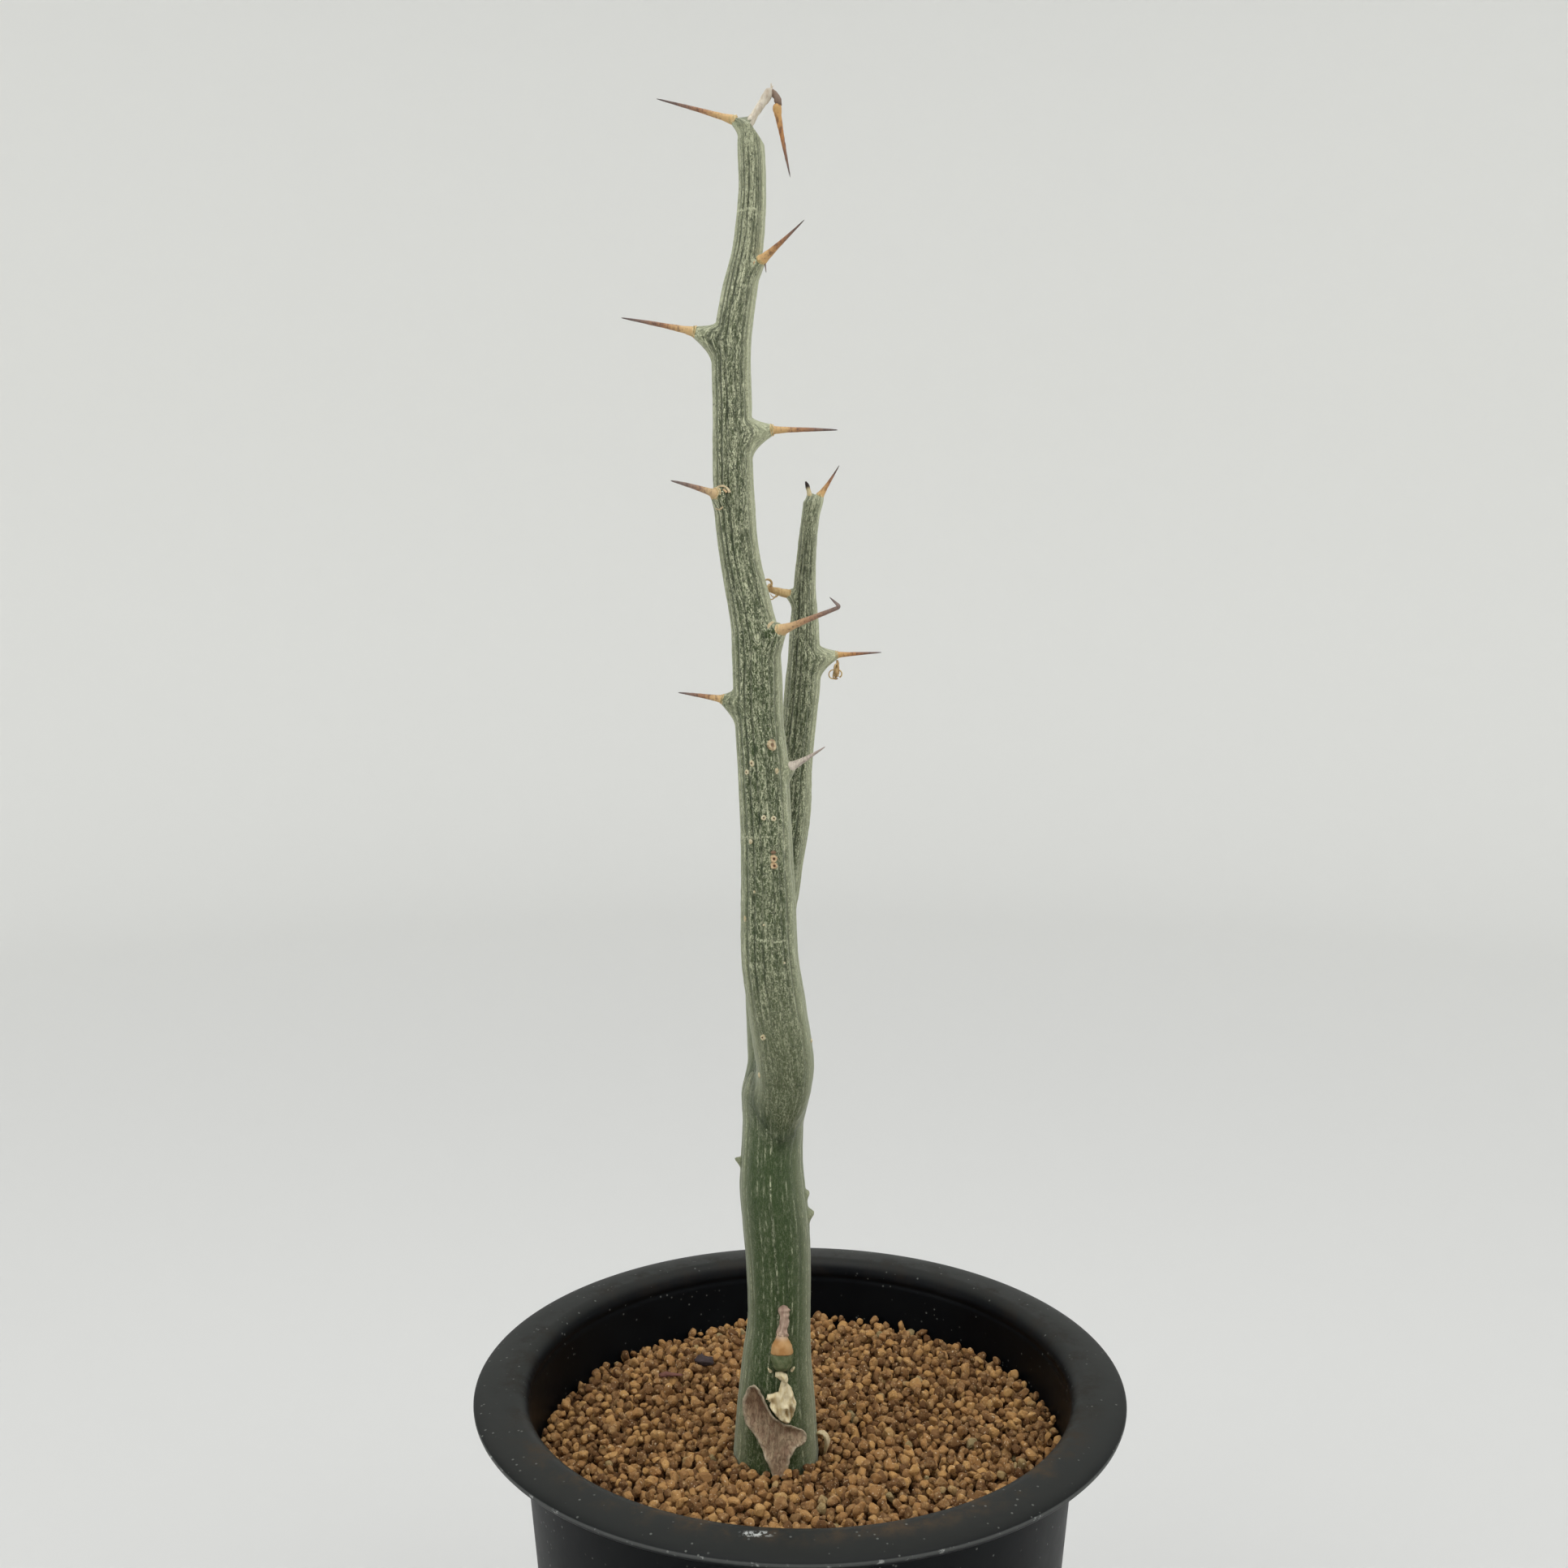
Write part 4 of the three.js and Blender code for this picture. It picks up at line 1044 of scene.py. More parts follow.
def soil_surface(level, outer, clearance_round_trunk, wave_height, seed):
    """A sheet with a hole round the trunk, for grains to lie on, in millimetres from the pot's axis."""
    rings, sides = 28, 96
    theta = np.linspace(0, TAU, sides, endpoint=False)
    trunk = trunk_foot[:2] / MM
    hole = TRUNK_STATIONS[0][3] + clearance_round_trunk
    grid = []
    for t in np.linspace(0, 1, rings):
        ray = np.stack([np.cos(theta), np.sin(theta)], -1)
        grid.append(trunk * (1 - t) + ray * (hole + (outer - hole) * t))
    flat = np.array(grid)
    place = np.concatenate([flat, np.zeros(flat.shape[:2] + (1,))], -1)
    waves = rough(place / 9.0, seed) + 0.4 * rough(place / 3.1, seed + 1)
    place[..., 2] = level + wave_height * waves
    dip = ramp(np.hypot(flat[..., 0], flat[..., 1]), 36, 48)
    place[..., 2] -= dip * (0.5 + 1.5 * ramp(-flat[..., 0], 0, 30) * ramp(flat[..., 1], -30, -5))
    faces = [face for face in ring_faces(rings, sides) if max(face) < rings * sides]
    return place.reshape(-1, 3), [face[::-1] for face in faces]


def make_soil(soil):
    """The bed and its layers of grains."""
    top = soil_high.z / MM
    bottom = soil_low.z / MM
    outer = soil_high.x / MM
    lower = outer - 7.6
    bed_top = top - 3.4
    profile = [(0.01, bottom), (20, bottom), (lower - 2.3, bottom), (lower, bottom + 2.3),
               (outer - 0.4, bed_top)]
    profile += [(r, bed_top + 0.25 * math.sin(r)) for r in (44, 40, 36, 32, 28, 24, 20, 16, 12, 8, 4)]
    profile.append((0.01, bed_top))
    heap = Heap()
    heap.add(*spun(profile, 96))
    bed = heap.make("soil_bed", bed_finish(), origin=np.zeros(3))
    finish_piece(bed, "clay_grains", "soil")

    clay = grain_finish(soil)
    kinds = bpy.data.collections.new("grain_kinds")
    bpy.context.scene.collection.children.link(kinds)
    for k in range(7):
        kinds.objects.link(grain_shape(f"grain_kind_{k}", 100 + k))
    tree = scatter_tree(clay)
    # Name, depth in millimetres, spacing and grain against the usual, and unevenness in metres.
    layers = (
        ("soil_grains_low", 2.7, 1.0, 1.0, 0.0003),
        ("soil_grains_middle", 1.6, 1.0, 1.0, 0.0004),
        ("soil_grains_top", 0.7, 1.0, 1.0, 0.0004),
        ("soil_grains_loose", -0.15, 2.3, 1.06, 0.0003),
    )
    for number, (name, depth, apart, size, uneven) in enumerate(layers, 1):
        heap = Heap()
        heap.add(*soil_surface(top - depth, outer - 0.35, 0.35, 0.35, 21))
        layer = heap.make(name, clay, origin=np.zeros(3))
        scatter = layer.modifiers.new("grains", "NODES")
        scatter.node_group = tree
        values = {"Spacing": soil.spacing * apart, "Grain": soil.grain * size, "Unevenness": uneven,
                  "Seed": soil.seed + 10 * number, "Grains": kinds}
        for socket in tree.interface.items_tree:
            if socket.in_out == "INPUT" and socket.name in values:
                scatter[socket.identifier] = values[socket.name]
        settle(layer)
        finish_piece(layer, "clay_grains")
    for thing in list(kinds.objects):
        bpy.data.objects.remove(thing)
    bpy.data.collections.remove(kinds)


def make_chip():
    """A dark chip of bark and a reddish sliver lying on the grains."""
    low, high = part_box("bark_chip")
    middle = (np.array(low) + np.array(high)) / 2 / MM
    heap = Heap()
    way = aim(-35, 4)
    spots = ((-2.3, -0.2), (-1.75, -0.1), (-1.2, 0), (0, 0), (1.2, 0.15), (2.2, -0.15))
    path = [middle + way * place + (0, 0, lift) for place, lift in spots]
    heap.add_tube(path, [0.35, 0.95, 1.15, 1.2, 1.05, 0.3], 18, 0.72, 0.55, 5, warm=0.0)
    red = np.array([-25.5, 18.2, soil_high.z / MM + 0.85])
    path = [red + aim(-12, 5) * t for t in np.linspace(-2.4, 2.4, 8)]
    radii = np.interp(np.linspace(0, 1, 8), (0, 0.3, 1), (0.3, 0.8, 0.35))
    heap.add_tube(path, radii, 12, 0.55, 0.6, 9, warm=0.8)
    chip = heap.make("bark_bits", chip_finish(), origin=np.zeros(3))
    finish_piece(chip, "bark", "bark_chip")


def stem_grid(stem, low, high, gap, sides, dome=0.6, round_foot=True):
    """Rings of points up a stem, with rounded ends. Returns points, ways out, azimuths, heights and radii."""
    if dome < 1:
        high -= dome * float(stem.radius(high))
    count = int((high - low) / gap)
    heights = list(np.linspace(low, high, count))
    scale = [1.0] * count
    shift = [0.0] * count
    arc = np.linspace(0, math.pi / 2, 9)[1:]
    top, foot = float(stem.radius(high)), float(stem.radius(low))
    heights += [high] * len(arc)
    scale += [max(math.cos(a), 0.04) for a in arc]
    shift += [top * dome * math.sin(a) for a in arc]
    if round_foot:
        heights = [low] * len(arc) + heights
        scale = [max(math.cos(a), 0.04) for a in arc[::-1]] + scale
        shift = [-foot * 0.7 * math.sin(a) for a in arc[::-1]] + shift
    heights, scale, shift = (np.array(v) for v in (heights, scale, shift))
    ahead, side, back = stem.frame(heights)
    theta = np.linspace(0, TAU, sides, endpoint=False)
    radius = stem.radius(heights) * scale
    out = np.cos(theta)[None, :, None] * side[:, None] + np.sin(theta)[None, :, None] * back[:, None]
    middle = stem.centre(heights) + ahead * shift[:, None]
    points = middle[:, None] + radius[:, None, None] * out
    height, radius = (heights + shift)[:, None], radius[:, None]
    return points, out, *(np.broadcast_to(grid, points.shape[:2]) for grid in (theta, height, radius))


def run_together(points, stems, softness):
    """How far points stand outside the stems, taken as one body with soft joints."""
    merged = stems[0].distance(points)
    for stem in stems[1:]:
        other = stem.distance(points)
        share = np.clip(0.5 + 0.5 * (other - merged) / softness, 0, 1)
        merged = other * (1 - share) + merged * share - softness * share * (1 - share)
    return merged


def swell_joint(points, out, own, softness=2.9, most=1.6):
    """How far a stem's skin swells where the stems run together, and how much of a joint each point is, which
    weights the painted shade in the joint's crease.
    """
    others = [stem for stem in STEMS.values() if stem is not own]
    travel = np.zeros(points.shape[:2])
    for _ in range(14):
        merged = run_together(points + out * travel[..., None], list(STEMS.values()), softness)
        travel = np.clip(travel - merged * 0.8, 0, most)
    moved = points + out * travel[..., None]
    nearest = np.minimum.reduce([other.distance(moved) for other in others])
    sunk = np.clip((own.distance(moved) - nearest) * 0.3, 0, 0.16)
    near = ramp(points[..., 2], TRUNK_HEIGHT + 34, TRUNK_HEIGHT + 24)
    near = near * ramp(points[..., 2], TRUNK_HEIGHT - 20, TRUNK_HEIGHT - 12)
    return (travel - sunk) * near, np.clip(travel / 0.75, 0, 1) * near


def make_shoot(key, low, sides, seed, settings, tones, bevel, paint):
    """One shoot with its ribs, cushions and skin marks, its sides painted paler as sheen and its joint's
    crease painted darker as shade. Tones are shares of its length, tone and bloom.
    """
    stem = STEMS[key]
    points, out, theta, height, radius = stem_grid(stem, low, stem.length, settings.ring_gap / MM, sides)
    share = height / stem.length
    tip = ramp(stem.length - height, 1, 9)
    ribs = lines_on(theta, height, radius, settings.ribs, seed, 0.32, 9.0, -0.7) * tip
    groove = lines_on(theta, height, radius, settings.ribs, seed, 0.17, 9.0, -0.6)
    thin = lines_on(theta, height, radius, settings.ribs + 13, seed + 500, 0.1, 3.0, 0.0)
    groove = np.maximum(groove, 0.75 * thin) * (0.3 + 0.7 * tip)
    collar = ramp(points[..., 2], 96, 76)
    depth = settings.groove_depth / MM * (1 - 0.75 * collar)
    lumps = bark_noise(theta, height, 1.3, 6.0, seed + 2)
    fine = bark_noise(theta, height, 5, 1.1, seed + 3)
    swell, joint_shade = swell_joint(points, out, stem)
    points = points + out * (swell - ribs * depth + 0.1 * lumps + 0.035 * fine)[..., None]
    peak = stem.centre(np.array(stem.length))
    slope = (points[..., 0] - peak[0] - bevel[0]).clip(0) * bevel[1]
    points[..., 2] = np.minimum(points[..., 2], np.maximum(peak[2] - slope, points[..., 2] - 4))
    cushion = np.zeros(points.shape[:2])
    for growth in [*THORNS.values(), *STALKS.values()]:
        if growth.stem == key:
            cushion = np.maximum(cushion, raise_cushion(points, growth, 0.45))
    places, greens, blooms = zip(*tones)
    tone, bloom = np.interp(share, places, greens), np.interp(share, places, blooms)
    # Painted sheen: the sides facing plus and minus X are painted paler, with more bloom, a lighter tone, less
    # crust and fainter grooves.
    painted_side_sheen = ramp(np.abs(np.cos(theta)), 0.62, 0.98)
    # Painted shade in the crease where the stems run together: less bloom, a darker tone and the groove
    # colour.
    bloom = np.clip(bloom + (0.35 + 0.4 * share) * painted_side_sheen - 0.3 * cushion - 0.25 * joint_shade, 0, 1)
    tone = np.clip(tone - 0.25 * joint_shade + 0.1 * painted_side_sheen, 0, 1)
    rugged = np.interp(share, (0, 0.25, 0.5, 0.75, 1), (0.45, 0.65, 0.85, 1, 1)) * (1 - 0.4 * collar)
    rugged = np.clip(rugged - 0.25 * painted_side_sheen + 0.2 * cushion, 0, 1)
    groove = groove * (1 - 0.8 * collar) * (1 - ramp(cushion, 0.3, 0.7)) * (1 - 0.3 * painted_side_sheen)
    groove = np.maximum(groove, 0.5 * joint_shade)
    dash = lines_on(theta, height, radius, 30, seed + 900, 0.15, 1.7, 0.1)
    for level, azimuth, sweep, strength in BANDS[key]:
        turn = np.degrees((theta - math.radians(azimuth) + math.pi) % TAU - math.pi)
        off = points[..., 2] - level - 0.25 * wave(theta * 4, 77)
        mark = ramp(np.abs(turn), sweep, sweep * 0.7) * np.exp(-((off / 0.2) ** 2))
        dash = np.maximum(dash, strength * mark)
    heap = Heap()
    heap.add_skin(points, theta, height, 4.4, tone=tone, bloom=bloom, rugged=rugged, groove=groove,
                  dash=dash * (1 - collar * 0.6))
    finish_piece(heap.make(key + "_shoot_fine", paint), "shoot_skin", key + "_shoot")


def make_trunk(settings):
    """The trunk with its knobs, buried end and roots."""
    stem = STEMS["trunk"]
    sides = 176
    gap = settings.ring_gap / MM
    points, out, theta, height, radius = stem_grid(stem, 0.0, stem.length, gap, sides, 1.0, False)
    buried = np.linspace(-BURIED, -0.5, 40)
    taper = np.interp(buried / BURIED, (-1, -0.6, -0.2, 0), (3.5, 6.2, 7.6, 7.8))
    ring = np.stack([np.cos(theta[0]), np.sin(theta[0]), np.zeros(sides)], -1)
    below = taper[:, None, None] * ring[None] + np.array([0, 0, 1.0]) * buried[:, None, None]
    points = np.concatenate([below, points])
    out = np.concatenate([np.broadcast_to(ring, below.shape), out])
    theta, height, radius = (
        np.concatenate([np.broadcast_to(under, below.shape[:2]), over])
        for under, over in ((theta[0], theta), (buried[:, None], height), (taper[:, None], radius))
    )
    fluting = bark_noise(theta, height, 1.1, 14, 61)
    fine = bark_noise(theta, height, 7, 1.4, 62)
    ribs = lines_on(theta, height, radius, 15, 611, 0.5, 12.0, -0.4)
    swell, joint_shade = swell_joint(points, out, stem)
    points = points + out * (swell + 0.14 * fluting + 0.03 * fine - 0.09 * ribs)[..., None]
    cushion = np.zeros(points.shape[:2])
    for growth in KNOBS:
        cushion = np.maximum(cushion, raise_cushion(points, growth, 0))
    # Painted shade and sheen: the front, facing minus Y, is painted darker with less bloom, and the sides
    # facing plus and minus X are painted paler with more bloom.
    front = ramp(-np.sin(theta), 0.35, 0.95)
    low = ramp(height, 30, 4)
    joint = ramp(points[..., 2], 55, 70)
    tone = np.clip(0.42 - 0.45 * front - 0.1 * low + 0.6 * cushion + 0.35 * joint, 0, 1)
    bloom = 0.27 * ramp(np.abs(np.cos(theta)), 0.6, 0.98) + 0.06 * (1 - front) + 0.15 * cushion
    bloom = np.clip(bloom + 0.1 * joint + 0.1 * low * (1 - front), 0, 1)
    # Grooves, and painted shade in the crease at the fork.
    groove = lines_on(theta, height, radius, 15, 611, 0.3, 9.0, 0.0) * 0.4 + 0.45 * joint_shade
    dash = np.maximum(lines_on(theta, height, radius, 21, 640, 0.1, 1.2, 0.0),
                      0.6 * lines_on(theta, height, radius, 34, 680, 0.09, 1.0, 0.25))
    heap = Heap()
    rugged = 0.1 + 0.4 * cushion + 0.35 * joint + 0.12 * low
    heap.add_skin(points, theta, height, 6.2, tone=tone, bloom=bloom, rugged=rugged,
                  groove=np.clip(groove, 0, 1), dash=dash)
    roots, root_length, root_radius = 5, 26, 2
    start = np.array([0, 0, 2.0 * root_radius - BURIED])
    for k in range(roots):
        path = start + aim(20 + 360 * k / roots, -35) * np.linspace(0, root_length, 12)[:, None]
        heap.add_tube(path, np.linspace(root_radius, 0.5, 12), 12, 1, 0.2, 70 + k,
                      tone=0.6, bloom=0.0, rugged=0.2, groove=0.2, dash=0.0)
    paint = skin_finish("trunk_skin", settings)
    finish_piece(heap.make("trunk_fine", paint), "trunk_skin", "trunk")


def make_thorns(colours):
    """All the thorns, each on its own cushion."""
    skin = thorn_finish(colours)
    for number, (name, growth) in enumerate(THORNS.items()):
        start, way = base_of(growth, -0.15)
        radius = growth.radius
        bend, flat, warm, bleached = THORN_LOOK[name]
        rings = 44
        t = np.linspace(0, 1, rings) ** 1.15
        body = np.interp(t, (0, 0.015, 0.05, 0.1, 0.18, 0.3, 0.45, 0.7, 0.9, 0.985, 1),
                         (1.0, 1.04, 1.0, 0.84, 0.7, 0.57, 0.47, 0.33, 0.19, 0.1, 0.04))
        upwards = np.array([0, 0, 1.0]) - way * way[2]
        upwards /= np.linalg.norm(upwards)
        path = start + way * (t * (growth.length + 0.45))[:, None] + upwards * (bend * t**2)[:, None]
        if name == "thorn_hooked":
            path, body = hooked_path(start, way, growth, rings)
        stout = THORN_BASE.get(name, 1)
        body = body * np.interp(t, (0, 0.2, 0.8), (stout, stout, 1))
        heap = Heap()
        heap.add_tube(path, body * radius, 22, flat, 0.07, 200 + number,
                      along=np.copy, warm=warm, bleached=bleached)
        side = np.cross(way, upwards)
        for k, (place, size) in enumerate(((0.3, 0.98), (0.65, 0.9))):
            angles = np.linspace(0.4 + 2.2 * k, 0.2 + 2.2 * k + TAU, 26)
            ring = start + way * place + radius * size * (
                np.cos(angles)[:, None] * upwards * flat + np.sin(angles)[:, None] * side)
            thick = radius * (0.2 - 0.06 * k) * (1 + 0.4 * wave(angles * 1.3, number + 9 * k))
            heap.add_tube(ring, thick, 8, 1, 0.3, 260 + number, way,
                          along=0.03, warm=warm, bleached=bleached * 0.6)
        if name == "thorn_upper_right":
            spike = start + (0.75, -0.3, 0.5) + np.array([0.12, 0, -1]) * np.linspace(0, 2.3, 10)[:, None]
            heap.add_tube(spike, np.linspace(0.2, 0.05, 10), 8,
                          along=lambda share: 0.5 + 0.4 * share, warm=0.2, bleached=0.3)
        finish_piece(heap.make(name + "_fine", skin), "thorn", name)
    tip = STALKS["withered_tip"]
    start = base_of(tip, 0.3 + tip.length * 0.6)[0] + np.array([tip.radius + 1.3, 0, -0.7])
    down = aim(0, -80)
    t = np.linspace(0, 1, 44)
    body = np.interp(t, (0, 0.03, 0.08, 0.16, 0.4, 0.7, 0.95, 1),
                     (0.7, 1.1, 1.05, 0.85, 0.6, 0.36, 0.15, 0.04))
    path = start + down * (t * 11.8)[:, None] + np.array([0.25, 0, 0]) * (t**2)[:, None]
    heap = Heap()
    heap.add_tube(path, body * 0.78, 20, 0.85, 0.12, 230,
                  along=lambda share: np.maximum(share, 0.1), warm=0.9, bleached=0.0)
    finish_piece(heap.make("dangling_thorn_fine", skin), "thorn", "dangling_thorn")


def hooked_path(start, way, growth, rings):
    """A thorn's shaft whose tip turns sharply back."""
    length = growth.length
    turn = Vector((0, 0, 1)).rotation_difference(Vector(way))
    back = np.array(turn @ Vector(aim(growth.azimuth + 180, 56 - 90)))
    corner = start + way * (length + 0.1)
    shaft = [start + way * (length - 0.7) * t for t in np.linspace(0, 1, rings - 16) ** 1.15]
    bend = [(1 - t) ** 2 * shaft[-1] + 2 * t * (1 - t) * corner + t * t * (corner + back * 0.7)
            for t in np.linspace(0, 1, 8)[1:]]
    tip = [corner + back * (0.7 + 1.9 * t) for t in np.linspace(0, 1, 10)[1:]]
    path = np.array(shaft + bend + tip)
    body = np.interp(share_along(path), (0, 0.02, 0.06, 0.12, 0.22, 0.5, 0.8, 0.84, 0.97, 1),
                     (1.0, 1.1, 1.02, 0.8, 0.62, 0.46, 0.34, 0.33, 0.12, 0.04))
    return path, body


def loop_path(middle, radius, start, turn, tilt, count=18, rise=0.0):
    """An open loop of thin dried fibre."""
    angles = np.linspace(math.radians(start), math.radians(start + turn), count)
    flat = np.stack([np.cos(angles), np.zeros(count), np.sin(angles)], -1) * radius
    flat[:, 1] = np.linspace(-0.5, 0.5, count) * rise
    spin = np.array(Matrix.Rotation(math.radians(tilt), 3, "Z"))
    return middle + flat @ spin.T


def make_stalks():
    """The dried leaf stalks and stubs at the shoots' tips."""
    straw = dry_finish("dried_straw", linear(214, 188, 138), linear(184, 148, 100), linear(116, 84, 60), 0.6)
    stub = dry_finish("dried_stub", linear(214, 202, 164), linear(186, 164, 122), linear(52, 44, 42), 0.62)
    paper = dry_finish("dried_paper", linear(222, 214, 198), linear(196, 182, 162), linear(112, 86, 72), 0.6)

    growth = STALKS["dried_stalk_left"]
    start, way = base_of(growth, -0.1)
    heap = Heap()
    t = np.linspace(0, 1, 20)
    path = start + way * (t * growth.length)[:, None] + np.array([0, 0, 0.35]) * (t**2)[:, None]
    body = 0.85 * np.interp(t, (0, 0.1, 0.4, 0.85, 1), (1.3, 1.15, 0.95, 0.95, 0.5))
    heap.add_tube(path, body, 18, 0.8, 0.2, 31, shade=lambda along: 0.25 * along)
    end = path[-1]
    for place, size, first, turn, tilt, thick in (
        ((0.35, -0.3, 0.75), 0.72, -60, 310, 20, 0.26),
        ((0.9, -0.5, -1.1), 0.95, 120, 250, -30, 0.2),
        ((1.6, -0.3, -0.9), 0.75, 60, -230, 40, 0.17),
        ((0.2, -0.2, -0.7), 0.65, 90, 220, 10, 0.18),
        ((0.7, -0.6, 0.1), 0.5, 0, 300, 60, 0.2),
    ):
        curl = loop_path(end + np.array(place), size, first, turn, tilt, rise=0.5)
        body = thick * np.interp(np.linspace(0, 1, len(curl)), (0, 0.5, 1), (1, 1.1, 0.5))
        heap.add_tube(curl, body, 8, 0.6, shade=0.15)
    finish_piece(heap.make("dried_stalk_left_fine", straw), "dried_skin", "dried_stalk_left")

    start, way = base_of(STALKS["withered_tip"], -2.1)
    heap = Heap()
    t = np.linspace(0, 1, 30)
    path = start + way * (t * 7.8)[:, None] + np.array([-0.35, 0, 0]) * ((1 - t) ** 2)[:, None]
    body = np.interp(t, (0, 0.2, 0.35, 0.6, 0.8, 0.93, 1), (1.7, 1.45, 1.2, 1.2, 1.5, 1.3, 0.5))
    heap.add_tube(path, 0.65 * body, 20, 0.8, 0.22, 41, shade=lambda along: 0.25 * ramp(along, 0.62, 0.95))
    end = path[-1]
    knot = end + np.array([(0, 0, -0.4), (0.45, 0, -0.8), (0.85, 0, -1.3), (1.15, 0, -1.9), (1.3, 0, -2.7)])
    heap.add_tube(knot, (0.5, 0.6, 0.6, 0.7, 0.5), 14, 0.85, 0.45, 43, shade=0.85)
    for k in range(5):
        spike = end + aim(60 + 30 * k, 50 + 9 * k) * np.linspace(0, 0.9, 5)[:, None]
        heap.add_tube(spike, np.linspace(0.16, 0.03, 5), 6, shade=0.0)
    finish_piece(heap.make("withered_tip_fine", paper), "dried_skin", "withered_tip")

    start, way = base_of(STALKS["tip_stub"], -0.5)
    heap = Heap()
    t = np.linspace(0, 1, 18)
    path = start + way * (t * 3.1)[:, None] + np.array([-0.25, 0, 0]) * (t**3)[:, None]
    body = 0.45 * np.interp(t, (0, 0.5, 0.7, 0.85, 1), (1.5, 0.85, 1.0, 0.8, 0.3))
    heap.add_tube(path, body, 16, 0.9, 0.2, 47, shade=lambda along: ramp(along, 0.5, 0.72))
    finish_piece(heap.make("tip_stub_fine", stub), "dried_skin", "tip_stub")

    low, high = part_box("dried_curl")
    head = (np.array([(low.x + high.x) / 2, (low.y + high.y) / 2, high.z]) - trunk_foot) / MM
    heap = Heap()
    t = np.linspace(0, 1, 14)
    bow = np.sin(t * math.pi)[:, None]
    path = head + np.array([-0.5, 0, -2.9]) * t[:, None] + np.array([0.35, 0, 0]) * bow
    heap.add_tube(path, np.interp(t, (0, 0.4, 0.75, 1), (0.4, 0.6, 1.0, 0.5)), 14, 0.55, 0.45, 53, shade=0.35)
    for place, size, first, turn, tilt in (
        ((-0.65, -0.4, -2.5), 0.8, 40, 300, 15),
        ((0.25, -0.4, -2.4), 0.65, 200, -270, -25),
        ((-0.2, -0.4, -1.2), 0.55, 90, 240, 60),
        ((-0.2, -0.5, -2.9), 0.45, 0, 320, 0),
    ):
        curl = loop_path(head + np.array(place), size, first, turn, tilt, rise=0.4)
        heap.add_tube(curl, 0.17, 8, 0.7, 0.2, 57, shade=0.0)
    finish_piece(heap.make("dried_curl_fine", straw), "dried_skin", "dried_curl")


def trunk_front(x, height, gap):
    """A point in front of the trunk's skin, at an X offset and a height, and the way out from there."""
    stem = STEMS["trunk"]
    middle = stem.centre(height)
    radius = stem.radius(height) + gap
    off = np.clip((x - middle[..., 0]) / radius, -0.995, 0.995)
    out = np.stack([off, -np.sqrt(1 - off**2), np.zeros_like(off)], -1)
    return middle + out * radius[..., None], out


def scale_sheet(outline, grid, seed, fray):
    """A dense flat sheet inside an outline with a frayed edge: points, faces and distance to the edge."""
    outline = np.array(outline, float)
    edge = []
    for first, second in zip(outline, np.roll(outline, -1, axis=0)):
        count = max(int(np.linalg.norm(second - first) / grid), 1)
        edge += [first + (second - first) * t / count for t in range(count)]
    edge = np.array(edge)
    tangent = np.roll(edge, -1, axis=0) - np.roll(edge, 1, axis=0)
    normal = np.stack([tangent[:, 1], -tangent[:, 0]], -1)
    normal /= np.linalg.norm(normal, axis=1, keepdims=True)
    along = np.arange(len(edge)) * grid
    edge = edge + normal * (fray * (wave(along / 0.8, seed) + 0.6 * wave(along / 0.33, seed + 1)))[:, None]
    low, high = edge.min(0), edge.max(0)
    xs, ys = np.meshgrid(np.arange(low[0], high[0], grid), np.arange(low[1], high[1], grid))
    inner = np.stack([xs.ravel(), ys.ravel()], -1)
    inner[:, 0] += (np.round((inner[:, 1] - low[1]) / grid) % 2) * grid * 0.5
    apart = np.sqrt(((inner[:, None] - edge[None]) ** 2).sum(-1)).min(1)
    inside = np.zeros(len(inner), bool)
    for (x0, y0), (x1, y1) in zip(edge, np.roll(edge, -1, axis=0)):
        crosses = (y0 > inner[:, 1]) != (y1 > inner[:, 1])
        inside ^= crosses & (inner[:, 0] < (x1 - x0) * (inner[:, 1] - y0) / (y1 - y0 + 1e-12) + x0)
    inner = inner[inside & (apart > grid * 0.55)]
    points = np.concatenate([edge, inner])
    ring = [(k, (k + 1) % len(edge)) for k in range(len(edge))]
    made = delaunay_2d_cdt([Vector(p) for p in points], ring, [list(range(len(edge)))], 1, 1e-6)
    flat = np.array([tuple(v) for v in made[0]])
    faces = [tuple(face) for face in made[2]]
    closest = np.sqrt(((flat[:, None] - edge[None]) ** 2).sum(-1)).min(1)
    return flat, faces, closest


def thicken(points, faces, out, thickness):
    """Closes a sheet with a back, pushed in by its thickness."""
    count = len(points)
    first, second, third = (points[[face[k] for face in faces]] for k in range(3))
    facing = (np.cross(second - first, third - first) * out[[face[0] for face in faces]]).sum(1)
    front = [f if way > 0 else f[::-1] for f, way in zip(faces, facing)]
    used = dict.fromkeys(pair for face in front for pair in zip(face, face[1:] + face[:1]))
    sides = [(b, a, a + count, b + count) for a, b in used if (b, a) not in used]
    back = [tuple(i + count for i in face[::-1]) for face in front]
    return np.concatenate([points, points - out * thickness]), front + back + sides


